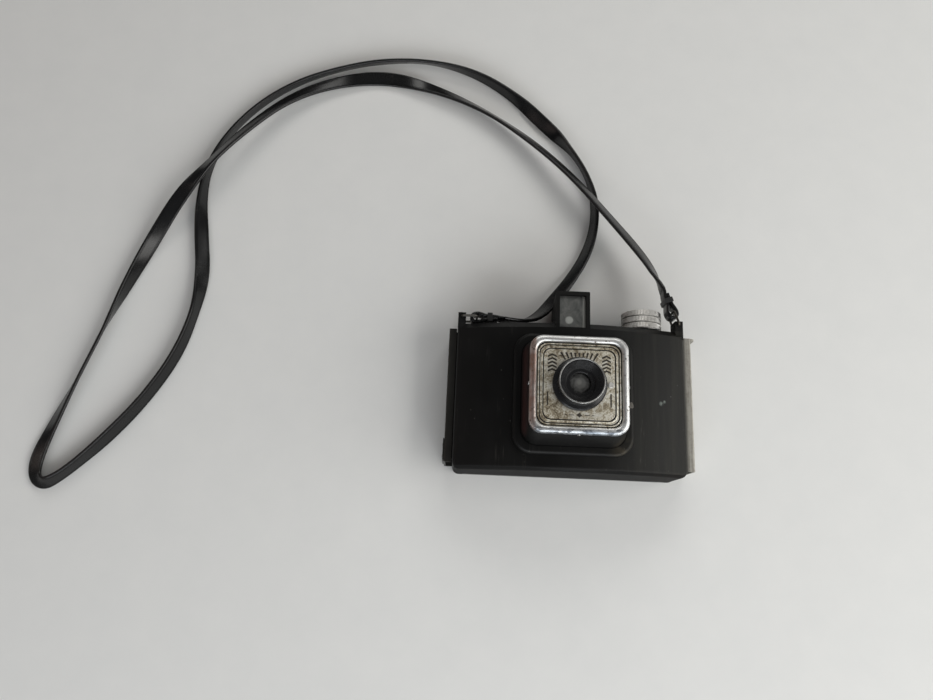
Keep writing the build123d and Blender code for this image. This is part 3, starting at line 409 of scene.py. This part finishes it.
def front_lens_glass():
    """Front lens with the pale reflection of its inner surfaces in the middle and darker rings round it."""
    s = Shader("lens_glass", (0.12, 0.12, 0.12), specular_ior_level=0.8)
    smear = s.noise(420, 4.0, 0.6, distortion=1.0)
    rings = s.mix(s.spot(0, 0, 3.3, 4.3), (0.012, 0.012, 0.012), (0.060, 0.060, 0.058))
    rings = s.mix(s.spot(0, 0, 1.9, 2.9), rings, (0.125, 0.125, 0.12))
    rings = s.mix(s.spot(-0.5, 0.4, 0.5, 1.6), rings, (0.19, 0.19, 0.18))
    s.colour(s.mix(s.ramp(smear, [(0.45, 0.0), (0.75, 0.7)]), rings, (0.16, 0.16, 0.155)))
    s.rough(smear, 0.06, 0.18)
    s.bump(s.noise(90, 1.0), 0.01, 0.3)
    return s.material


def vinyl():
    """Black strap material with a fine grain, shallow dents and scuffed patches."""
    s = Shader("strap_vinyl", (0.011, 0.011, 0.011), specular_ior_level=0.42)
    cloud = s.noise(60, 3.0, 0.6)
    grain = s.noise(2600, 2.0, 0.5)
    scuff = s.times(s.noise(500, 6.0, 0.7), s.ramp(s.noise(35, 2.0), [(0.45, 0.0), (0.7, 0.9)]))
    black = s.mix(cloud, (0.006, 0.006, 0.0065), (0.0105, 0.0105, 0.0105))
    s.colour(s.mix(s.ramp(scuff, [(0.30, 0.0), (0.6, 0.6)]), black, (0.034, 0.033, 0.031)))
    s.rough(s.mix(0.4, cloud, grain), 0.17, 0.34)
    s.bump(grain, 0.010, 0.5)
    s.bump(s.noise(180, 3.0), 0.06, 0.4)
    return s.material


def paper():
    s = Shader("floor_paper", (0.72, 0.72, 0.70), roughness=0.8, specular_ior_level=0.2)
    s.colour(s.mix(s.noise(55, 5.0, 0.62), (0.70, 0.705, 0.695), (0.755, 0.755, 0.74)))
    s.rough(s.noise(300, 3.0), 0.7, 0.9)
    s.bump(s.noise(400, 4.0), 0.03, 0.4)
    return s.material


BAKELITE = bakelite("bakelite")
BAKELITE_BOX = bakelite("bakelite_box", left_wall_reflection=True)
TIN = aged_tin()
BEZEL = chrome("bezel_chrome", (0.80, 0.80, 0.79), 0.95, 0.36, 0.52)
RIM = chrome("rim_chrome", (0.50, 0.50, 0.49), 0.0, 0.28, 0.45)
KNOB = brushed("knob_alloy", (0.86, 0.85, 0.82), 0.42, 0.62, (0.4, 1, 0.4), (0.16, 0.145, 0.12))
STEEL = brushed("plain_steel", (0.55, 0.55, 0.53))
SHEET = enamelled_sheet()
BRASS = brass()
LENS_BLACK = black_paint("lens_enamel", 0.16, 0.34)
DEAD_BLACK = black_paint("dead_black", 0.55, 0.75, (0.006, 0.006, 0.006))
INLAY = black_paint("inlay_black", 0.4, 0.6, (0.022, 0.018, 0.013))
MILKY_GLASS = glass("milky_glass", (0.72, 0.73, 0.70), 1.0, 0.15)
RED_GLASS = glass("red_glass", (0.35, 0.012, 0.01), 0.75)
VINYL = vinyl()
LENS_GLASS = front_lens_glass()
FINDER_GLASS = hazy_finder_glass()
LEVER_STEEL = brushed("lever_steel", (0.34, 0.32, 0.29), 0.3, 0.55)
DARK_STEEL = brushed("dark_steel", (0.11, 0.104, 0.095), 0.35, 0.55)
SATIN_BLACK = black_paint("satin_black", 0.3, 0.5, (0.008, 0.008, 0.008))

CAD_MATERIALS = {
    BAKELITE: ["front_shell", "viewfinder_housing"],
    BAKELITE_BOX: ["lens_box"],
    LENS_BLACK: ["lens_barrel", "lens_retaining_ring"],
    TIN: ["face_plate"],
    BEZEL: ["bezel_frame"],
    RIM: ["barrel_rim", "bezel_screws"],
    KNOB: ["winding_knob", "mode_lever"],
    STEEL: ["knob_screw", "winding_shaft", "lens_box_screws", "shutter_plate_screws", "finder_screws",
            "film_gate_screws", "shutter_spring", "clutch_spring", "catch_rivets", "film_roller_left",
            "film_roller_right", "sector_pivot", "lever_pivot", "spool_pivots", "shutter_plate"],
    SATIN_BLACK: ["strap_crimps"],
    LEVER_STEEL: ["release_lever"],
    DARK_STEEL: ["strap_link_left", "strap_link_right"],
    SHEET: ["rear_cover", "cover_catch", "window_retainers", "film_gate"],
    BRASS: ["knob_bush", "finder_eyepiece_ring"],
    DEAD_BLACK: ["aperture_disc", "shutter_sector", "spool_core", "spool_flanges"],
    LENS_GLASS: ["lens_glass"],
    FINDER_GLASS: ["finder_front_glass"],
    MILKY_GLASS: ["finder_eyepiece_glass"],
    RED_GLASS: ["red_windows"],
    VINYL: ["strap", "strap_end_left", "strap_end_right"],
}
for material, nodes in CAD_MATERIALS.items():
    for node in nodes:
        for place in CAD[node].material_slots:
            place.material = material


# ---------------------------------------------------------------- mesh helpers
def add_piece(name, vertices, faces, material, body, sharp=35.0):
    """A mesh piece in the row frame that rides on a body. Its faces are smooth up to the `sharp` angle."""
    mesh = bpy.data.meshes.new(name)
    mesh.from_pydata(vertices, [], faces)
    shape = bmesh.new()
    shape.from_mesh(mesh)
    bmesh.ops.remove_doubles(shape, verts=shape.verts, dist=1e-7)
    bmesh.ops.recalc_face_normals(shape, faces=shape.faces)
    shape.to_mesh(mesh)
    shape.free()
    mesh.shade_smooth()
    mesh.set_sharp_from_angle(angle=math.radians(sharp))
    mesh.materials.append(material)
    piece = bpy.data.objects.new(name, mesh)
    scene.collection.objects.link(piece)
    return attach(piece, body)


def tube_faces(rings, around, closed=False):
    """Faces between successive rings of `around` vertices, with flat ends or joined into a loop."""
    faces = []
    for ring in range(rings if closed else rings - 1):
        for k in range(around):
            here, there = ring * around, (ring + 1) % rings * around
            after = (k + 1) % around
            faces.append((here + k, here + after, there + after, there + k))
    if not closed:
        faces.append(tuple(reversed(range(around))))
        faces.append(tuple(range((rings - 1) * around, rings * around)))
    return faces


# ---------------------------------------------------------------- strap
# x, y and z of the route in millimetres and the band's roll in degrees. x and y are the CAD route's, apart
# from the first six points, which are moved along the body's top edge. z is listed point by point, because
# the middle of a band on its edge is higher than the middle of the CAD's tube.
STRAP = [
    (-32.2, 36.93, 20.5, 90), (-23.5, 36.9, 16.6, 100), (-14.5, 41.3, 11.4, 132),
    (-5.4, 53.0, 6.2, 148), (3.2, 65.3, 3.7, 140), (10.8, 78.7, 3.7, 131),
    (15.0, 93.5, 3.8, 117), (15.5, 108.5, 3.8, 105), (11.5, 124.0, 3.8, 85),
    (2.5, 139.0, 3.8, 90), (-11.5, 153.5, 3.0, 150), (-28.0, 169.5, 3.8, 110),
    (-50.0, 183.5, 3.8, 87), (-76.0, 190.0, 3.8, 65), (-102.5, 188.5, 3.8, 67),
    (-125.0, 182.5, 3.8, 67), (-147.0, 173.0, 3.8, 72), (-166.5, 158.0, 3.8, 77),
    (-181.5, 138.5, 3.8, 80), (-189.0, 119.0, 3.8, 92), (-190.0, 100.5, 3.8, 117),
    (-187.5, 80.0, 2.7, 150), (-184.0, 61.0, 2.9, 147), (-184.5, 41.0, 3.8, 105),
    (-190.5, 17.0, 3.7, 110), (-203.5, -6.5, 3.7, 112), (-218.5, -25.5, 3.7, 115),
    (-231.5, -39.0, 3.8, 107), (-240.0, -46.0, 3.7, 115), (-245.5, -48.0, 3.1, 140),
    (-250.0, -44.5, 2.5, 157), (-250.5, -35.5, 2.2, 165), (-245.0, -19.0, 3.0, 145),
    (-237.0, 3.0, 3.8, 120), (-229.5, 27.5, 3.8, 119), (-221.0, 52.0, 3.8, 77),
    (-211.5, 77.0, 3.8, 40), (-199.0, 98.5, 10.3, 17), (-186.5, 117.0, 11.6, -35),
    (-170.5, 139.5, 9.0, -33), (-150.5, 162.0, 5.0, -25), (-126.5, 175.0, 2.6, -5),
    (-98.5, 179.5, 2.4, 22), (-70.0, 172.5, 2.9, -28), (-42.5, 159.5, 3.8, -53),
    (-17.5, 140.5, 6.5, -48), (3.5, 118.0, 11.4, -48), (22.0, 95.0, 12.6, -45),
    (34.0, 79.0, 14.6, -43), (41.5, 66.0, 17.5, -53), (45.01, 54.57, 20.5, -90),
]
STRAP_WIDTH = 7.2
STRAP_THICK = 1.7
STRAP_STEPS = 16
# The band's width varies by this share, in waves of about 1 / 45 m.
STRAP_WANDER = 0.03
WANDER_PER_METRE = 45.0
# Section of the band from its left edge to its middle: half widths from -1 and half thicknesses to about 1,
# with two embossed lines near the edge.
STRAP_SECTION = [
    (-1.0, 0.0), (-0.985, 0.45), (-0.93, 0.8), (-0.84, 0.98), (-0.775, 0.98), (-0.75, 0.78), (-0.725, 0.98),
    (-0.66, 1.0), (-0.635, 0.86), (-0.61, 1.0), (-0.3, 1.04),
]

# The folded end in the plane of its link, in millimetres from the bar: outwards and sideways.
FOLD_KNOTS = [
    (12.6, 0.0), (11.0, 0.1), (9.0, 0.55), (6.5, 0.8), (4.2, 1.0), (2.2, 1.7), (0.4, 2.15),
    (-1.5, 1.75), (-2.5, 0.3), (-2.1, -1.3), (-0.3, -2.1), (1.7, -1.75), (3.8, -1.05), (6.0, -0.85),
    (8.6, -0.75), (9.8, -0.8),
]
FOLD_STEPS = 6
FOLD_THICK = 1.44
# At the bar the fold is narrower by this share and curls up at its edges, and it is full width 4 mm away.
FOLD_NARROW = 0.16
FOLD_CURL = 0.3
FOLD_WAIST = 4.0

LINK_PIVOT = (51.2, 36.6)
LINK_REACH = 7.0
# name, side of the body, direction of the link in degrees
LINKS = (("left", -1, 1.0), ("right", 1, 109.0))


def strap_line():
    """The band's middle line, read from the NURBS spline whose control points are the route."""
    curve = bpy.data.curves.new("strap_route", "CURVE")
    curve.dimensions = "3D"
    spline = curve.splines.new("NURBS")
    spline.points.add(len(STRAP) - 1)
    for point, (x, y, z, _) in zip(spline.points, STRAP):
        point.co = (x * MM, y * MM, z * MM, 1.0)
    spline.order_u = 3
    spline.use_endpoint_u = True
    spline.resolution_u = STRAP_STEPS
    holder = bpy.data.objects.new("strap_route", curve)
    scene.collection.objects.link(holder)
    bpy.context.view_layer.update()
    mesh = bpy.data.meshes.new_from_object(holder)
    line = [vertex.co.copy() for vertex in mesh.vertices]
    bpy.data.objects.remove(holder)
    bpy.data.meshes.remove(mesh)
    return line


def strap_roll(step, steps):
    """Roll at a step of the line: each inner control point is half a span before its next knot."""
    last = len(STRAP) - 1
    position = step / (steps - 1) * (last - 1)
    index = position + 0.5
    if position > last - 1.5:
        index = last - 2 * (last - 1 - position)
    low = min(int(index), last - 1)
    share = index - low
    rolls = [STRAP[min(max(low + k, 0), last)][3] for k in (-1, 0, 1, 2)]
    slope_in, slope_out = (rolls[2] - rolls[0]) / 2, (rolls[3] - rolls[1]) / 2
    square, cube = share * share, share**3
    return ((2 * cube - 3 * square + 1) * rolls[1] + (cube - 2 * square + share) * slope_in
            + (3 * square - 2 * cube) * rolls[2] + (cube - square) * slope_out)


def strap_outline():
    """The whole section, from the left edge over the upper face to the right edge and back underneath."""
    upper = STRAP_SECTION + [(-w, t) for w, t in reversed(STRAP_SECTION)]
    return upper + [(w, -t) for w, t in reversed(upper[1:-1])]


def make_strap():
    """The free length: a flat band swept along the line, turned by its roll about the line."""
    line = strap_line()
    outline = strap_outline()
    half_w, half_t = STRAP_WIDTH / 2 * MM, STRAP_THICK / 2 * MM
    vertices = []
    for i, centre in enumerate(line):
        tangent = (line[min(i + 1, len(line) - 1)] - line[max(i - 1, 0)]).normalized()
        level = Vector((0, 0, 1)).cross(tangent).normalized()
        lifted = tangent.cross(level)
        roll = math.radians(strap_roll(i, len(line)))
        across = level * math.cos(roll) + lifted * math.sin(roll)
        through = lifted * math.cos(roll) - level * math.sin(roll)
        wander = 1.0 + STRAP_WANDER * noise.noise(centre * WANDER_PER_METRE)
        for w, t in outline:
            vertices.append(centre + across * (w * half_w * wander) + through * (t * half_t))
    faces = tube_faces(len(line), len(outline))
    strap = add_piece("strap_band", vertices, faces, VINYL, "camera_body")
    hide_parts("strap")


def spline_at(knots, index, share):
    """Place and direction on the Catmull-Rom spline, a share of the way from one knot to the next."""
    last = len(knots) - 1
    before, start, end, after = (Vector(knots[min(max(index + k, 0), last)]) for k in (-1, 0, 1, 2))
    linear = end - before
    square = 2 * before - 5 * start + 4 * end - after
    cubic = 3 * start - before - 3 * end + after
    place = 0.5 * ((2 * start) + linear * share + square * share * share + cubic * share**3)
    slope = 0.5 * (linear + 2 * square * share + 3 * cubic * share * share)
    return place, slope


def make_fold(name, node, angle, bar):
    """The strap's end: it goes round the link's bar, narrows there and lies back on itself."""
    out = Vector((math.cos(angle), math.sin(angle), 0))
    side = Vector((-math.sin(angle), math.cos(angle), 0))
    outline = strap_outline()
    half_w, half_t = STRAP_WIDTH / 2, FOLD_THICK / 2
    vertices, rings = [], 0
    for index in range(len(FOLD_KNOTS) - 1):
        for step in range(FOLD_STEPS):
            middle, slope = spline_at(FOLD_KNOTS, index, step / FOLD_STEPS)
            across = Vector((-slope.y, slope.x)).normalized()
            narrow = 1.0 - FOLD_NARROW * max(0.0, 1.0 - abs(middle.x + 0.5) / FOLD_WAIST)
            for w, t in outline:
                curl = FOLD_CURL * w * w * (1.0 - narrow)
                flat = middle + across * (t * half_t + curl)
                along = Vector((0, 0, w * half_w * narrow))
                vertices.append(bar + (out * flat.x + side * flat.y + along) * MM)
            rings += 1
    fold = add_piece(name, vertices, tube_faces(rings, len(outline)), VINYL, "camera_body")
    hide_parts(node)
    return fold


def link_bar(node, side, angle):
    """Middle of the link's outer bar, at the far end of the loop from the lug."""
    low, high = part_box(node)
    pivot = Vector((side * LINK_PIVOT[0] * MM, LINK_PIVOT[1] * MM, (low.z + high.z) / 2))
    return pivot + Vector((math.cos(angle), math.sin(angle), 0)) * LINK_REACH * MM


FOLDS = [make_fold(f"strap_fold_{name}", f"strap_end_{name}", math.radians(angle),
                   link_bar(f"strap_link_{name}", side, math.radians(angle)))
         for name, side, angle in LINKS]
make_strap()


# ---------------------------------------------------------------- floor
FLOOR_HALF = 3.0
FLOOR_DROP = 0.0001


def make_floor():
    mesh = bpy.data.meshes.new("floor")
    corners = [(x * FLOOR_HALF, y * FLOOR_HALF, 0) for x, y in ((-1, -1), (1, -1), (1, 1), (-1, 1))]
    mesh.from_pydata(corners, [], [(0, 1, 2, 3)])
    mesh.materials.append(paper())
    floor = bpy.data.objects.new("floor", mesh)
    floor.location.z = -FLOOR_DROP
    scene.collection.objects.link(floor)


make_floor()


# ---------------------------------------------------------------- winding knob
KNOB_TEETH = 84
KNOB_STEPS = 6
KNURL_DEPTH = 0.22
KNURL_RISE = 0.30
BAND_GAP = 0.35
# The dark groove between two bands, in millimetres in from the knob's radius.
GROOVE_FLOOR, GROOVE_MOUTH = 0.78, 0.62
# share of a band's height, and how much of the knurl's depth is there
BAND_ROWS = [(0.0, 0.0), (0.06, 0.7), (0.15, 1.0), (0.5, 1.0), (0.85, 1.0), (0.94, 0.7), (1.0, 0.0)]


def knob_rows(radius, foot, top):
    """(radius, height, knurl depth, 1 if half a tooth on) of each row, up the outside and down the bore."""
    band = (top - foot - 4 * BAND_GAP) / 3
    rows = [(3.0, foot, 0, 0), (radius - 1.2, foot, 0, 0), (radius - 0.5, foot + 0.15, 0, 0)]
    for k in range(3):
        start = foot + BAND_GAP + k * (band + BAND_GAP)
        for share, depth in BAND_ROWS:
            bulge = 0.05 * math.sin(share * math.pi)
            reach = radius - 0.42 + KNURL_RISE * min(1.0, depth * 1.4) + bulge
            rows.append((reach, start + share * band, depth, k % 2))
        if k < 2:
            rows.append((radius - 0.75, start + band + 0.05, 0, 0))
            rows.append((radius - 0.75, start + band + 0.30, 0, 0))
    dish = [(radius - 0.8, -0.12), (radius - 1.3, 0), (radius - 2.4, 0), (radius - 2.9, -0.25),
            (radius - 5.6, -0.35), (2.9, -0.3), (2.5, -0.4)]
    rows += [(reach, top + drop, 0, 0) for reach, drop in dish]
    return rows + [(2.5, foot + 8.0, 0, 0), (2.1, foot + 8.0, 0, 0), (2.1, foot, 0, 0)]


def make_knob():
    """Three knurled bands between turned grooves, with a dished top."""
    low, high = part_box("winding_knob")
    cx, cz = (low.x + high.x) / 2, (low.z + high.z) / 2
    radius = (high.x - low.x) / 2 / MM
    foot, top = low.y / MM, high.y / MM
    around = KNOB_TEETH * KNOB_STEPS
    rows = knob_rows(radius, foot, top)
    vertices = []
    for reach, y, depth, odd in rows:
        for k in range(around):
            angle = TAU * (k + odd * KNOB_STEPS / 2) / around
            wave = abs(((k % KNOB_STEPS) / KNOB_STEPS) * 2 - 1)
            r = (reach - depth * KNURL_DEPTH * (1 - wave) ** 1.2) * MM
            vertices.append((cx + r * math.cos(angle), y * MM, cz + r * math.sin(angle)))
    faces = tube_faces(len(rows), around, closed=True)
    knob = add_piece("knurled_knob", vertices, faces, KNOB, "winding_knob", sharp=28.0)
    knob.data.materials.append(DEAD_BLACK)
    for polygon in knob.data.polygons:
        x, y, z = polygon.center
        away = math.hypot(x - cx, z - cz) / MM
        if radius - GROOVE_FLOOR < away < radius - GROOVE_MOUTH and foot + 1 < y / MM < top - 1:
            polygon.material_index = 1
    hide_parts("winding_knob")


make_knob()


# ---------------------------------------------------------------- face plate
def rounded_square(half, radius, per_corner=12):
    """Points round a rounded square about the optical axis, from the right-hand side, counter-clockwise."""
    points = []
    for corner in range(4):
        turn = corner * math.pi / 2 + math.pi / 4
        centre = (half - radius) * math.sqrt(2)
        cx, cy = centre * math.cos(turn), centre * math.sin(turn)
        for k in range(per_corner + 1):
            angle = turn - math.pi / 4 + k / per_corner * math.pi / 2
            points.append((cx + radius * math.cos(angle), cy + radius * math.sin(angle)))
    return points


PLATE_RIM = 0.7
FIELD_HALF, FIELD_RADIUS = 15.0, 3.3
PLATE_HOLE = 6.6
RIDGES = ((17.75, 4.4), (16.2, 3.95))
# Faces of the border this far under the field are painted black.
BLACK_DEPTH = 0.04


def plate_rings():
    """(half size, corner radius, height over the field) of each ring of the pressed border's two ridges."""
    rings = []
    for half, radius in RIDGES:
        rings += [(half, radius, 0.0), (half - 0.05, radius, 0.22), (half - 0.16, radius - 0.1, 0.33),
                  (half - 0.36, radius - 0.25, 0.36), (half - 0.52, radius - 0.35, 0.28),
                  (half - 0.58, radius - 0.4, 0.0), (half - 0.62, radius - 0.42, -0.16),
                  (half - 1.02, radius - 0.62, -0.18), (half - 1.06, radius - 0.65, 0.0)]
    return rings


def make_face_plate():
    """The pressed plate: a hidden rim, two ridges with dark grooves, and a flat field with its hole."""
    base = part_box("face_plate")[0].z / MM
    field = base + PLATE_RIM
    rings = [(20.4, 5.2, base - field), (20.4, 5.2, -0.12), (20.3, 5.1, 0.0), (18.3, 4.6, 0.0),
             (18.25, 4.6, -0.3), (17.85, 4.45, -0.32), *plate_rings()]
    vertices = []
    for half, radius, height in rings:
        vertices += [(x * MM, y * MM, (field + height) * MM) for x, y in rounded_square(half, radius)]
    edge = rounded_square(FIELD_HALF, FIELD_RADIUS)
    hole = [(PLATE_HOLE * math.cos(angle), PLATE_HOLE * math.sin(angle))
            for angle in (math.atan2(y, x) for x, y in edge)]
    for share in (0.35, 0.7, 1.0):
        for (x, y), (hole_x, hole_y) in zip(edge, hole):
            vertices.append(((x + (hole_x - x) * share) * MM, (y + (hole_y - y) * share) * MM, field * MM))
    vertices += [(x * MM, y * MM, base * MM) for x, y in hole]
    faces = tube_faces(len(rings) + 4, len(edge), closed=True)
    plate = add_piece("face_plate_pressed", vertices, faces, TIN, "camera_body", sharp=40.0)
    plate.data.materials.append(DEAD_BLACK)
    for polygon in plate.data.polygons:
        centre = polygon.center
        spread = max(abs(centre.x), abs(centre.y)) / MM
        if centre.z < (field - BLACK_DEPTH) * MM and 8 < spread < 18.6 and polygon.normal.z > -0.5:
            polygon.material_index = 1
    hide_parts("face_plate")
    return field


def slab(outline, low, high, vertices, faces, inset=0.0):
    """Adds a closed slab with the outline, in millimetres, and a top drawn in by `inset`."""
    start = len(vertices)
    count = len(outline)
    cx = sum(x for x, _ in outline) / count
    cy = sum(y for _, y in outline) / count
    for height, shrink in ((low, 0.0), (high - inset, 0.0), (high, inset)):
        for x, y in outline:
            away = max(math.hypot(x - cx, y - cy), 1e-6)
            factor = 1 - shrink / away
            px, py = cx + (x - cx) * factor, cy + (y - cy) * factor
            vertices.append((px * MM, py * MM, height * MM))
    for ring in range(2):
        for k in range(count):
            a, b = start + ring * count + k, start + ring * count + (k + 1) % count
            faces.append((a, b, b + count, a + count))
    faces.append(tuple(start + k for k in reversed(range(count))))
    faces.append(tuple(start + 2 * count + k for k in range(count)))


RAY_FOOT, RAY_TOP = 12.15, 13.9
RAY_HALF = 0.40
RAY_PITCH = 7.4
CHEVRON_X, CHEVRON_TOP, CHEVRON_PITCH = 11.6, 12.3, 1.62
CHEVRON_ARM, CHEVRON_RISE, CHEVRON_THICK = 1.9, 0.9, 0.85
SUNK, PROUD, SOFTENED = 0.05, 0.05, 0.03


def make_ornament(field):
    """Plain decoration: rays over the lens, chevrons beside them, a lozenge under it and two dark slots."""
    vertices, faces = [], []

    def inlay(outline, proud=PROUD, softened=SOFTENED):
        slab(outline, field - SUNK, field + proud, vertices, faces, softened)

    for k in range(-4, 5):
        angle = math.radians(90 + k * RAY_PITCH)
        along = Vector((math.cos(angle), math.sin(angle)))
        side = Vector((-math.sin(angle), math.cos(angle)))
        foot, tip = along * RAY_FOOT, along * (RAY_TOP / math.sin(angle))
        foot_half, tip_half = side * RAY_HALF * 0.7, side * RAY_HALF * 1.25
        inlay([(c.x, c.y) for c in (foot + foot_half, foot - foot_half, tip - tip_half, tip + tip_half)])
    for side in (-1, 1):
        for k in range(5):
            x, y = side * CHEVRON_X, CHEVRON_TOP - CHEVRON_PITCH * k
            for end in (x - CHEVRON_ARM, x + CHEVRON_ARM):
                inlay([(x, y + CHEVRON_RISE), (end, y), (end, y - CHEVRON_THICK),
                       (x, y + CHEVRON_RISE - CHEVRON_THICK)])
    add_piece("face_fan", vertices, faces, INLAY, "camera_body")

    vertices, faces = [], []
    for x in (-13.5, 13.4):
        inlay([(x - 0.3, -9.4), (x + 0.3, -9.4), (x + 0.36, -6.5), (x + 0.3, -3.6), (x - 0.3, -3.6),
               (x - 0.36, -6.5)], 0.04, 0.02)
    inlay([(-1.3, -13.2), (0, -14.2), (1.3, -13.2), (0, -12.2)])
    for side in (-1, 1):
        for start, end in ((2.2, 4.4), (5.2, 6.2)):
            left, right = sorted((side * start, side * end))
            inlay([(left, -13.36), (right, -13.36), (right, -13.04), (left, -13.04)], 0.04, 0.02)
    add_piece("face_inlays", vertices, faces, INLAY, "camera_body")


make_ornament(make_face_plate())

BEZEL_CORNER_POINTS = 16
# The bezel's seat is this far under the plate's highest point.
BEZEL_SEAT = 0.3


def make_bezel():
    """Crowned chrome frame: its face rolls over evenly from the mouth to the skirt."""
    low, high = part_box("bezel_frame")
    foot, top = low.z / MM, high.z / MM
    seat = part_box("face_plate")[1].z / MM - BEZEL_SEAT
    profile = [(21.2, 5.9, foot), (21.2, 5.9, top - 1.35), (21.16, 5.88, top - 1.05),
               (21.04, 5.8, top - 0.75), (20.85, 5.7, top - 0.50), (20.60, 5.55, top - 0.30),
               (20.3, 5.4, top - 0.15), (19.95, 5.2, top - 0.05), (19.6, 5.05, top),
               (19.2, 4.9, top - 0.02), (18.85, 4.7, top - 0.12), (18.6, 4.55, top - 0.30),
               (18.3, 4.45, top - 0.6), (18.2, 4.4, top - 0.9), (18.2, 4.4, seat),
               (20.78, 5.5, seat), (20.78, 5.5, foot)]
    vertices = []
    for half, radius, height in profile:
        outline = rounded_square(half, radius, BEZEL_CORNER_POINTS)
        vertices += [(x * MM, y * MM, height * MM) for x, y in outline]
    faces = tube_faces(len(profile), len(outline), closed=True)
    bezel = add_piece("bezel_ring", vertices, faces, BEZEL, "camera_body", sharp=50.0)
    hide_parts("bezel_frame")


make_bezel()


# ---------------------------------------------------------------- lens mount
FUNNEL_STEPS = 6
FUNNEL_AROUND = 96


def make_funnel():
    """Turned steps down the inside of the lens tube."""
    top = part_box("lens_barrel")[1].z / MM
    r_top, r_foot, z_top, z_foot = 8.75, 6.45, top - 0.05, top - 2.75
    profile = [(r_top + 0.03, z_top)]
    for k in range(FUNNEL_STEPS):
        share, next_share = k / FUNNEL_STEPS, (k + 1) / FUNNEL_STEPS
        r0, r1 = r_top + (r_foot - r_top) * share, r_top + (r_foot - r_top) * next_share
        z0, z1 = z_top + (z_foot - z_top) * share, z_top + (z_foot - z_top) * next_share
        profile += [(r0 - 0.10, z0), (r0 - 0.14, z1 + 0.04), (r1 - 0.06, z1)]
    profile.append((r_foot + 0.05, z_foot - 0.02))
    vertices = []
    for radius, height in profile:
        for k in range(FUNNEL_AROUND):
            angle = TAU * k / FUNNEL_AROUND
            vertices.append((radius * math.cos(angle) * MM, radius * math.sin(angle) * MM, height * MM))
    faces = tube_faces(len(profile), FUNNEL_AROUND, closed=True)
    add_piece("funnel_steps", vertices, faces, LENS_BLACK, "camera_body", sharp=30.0)


make_funnel()
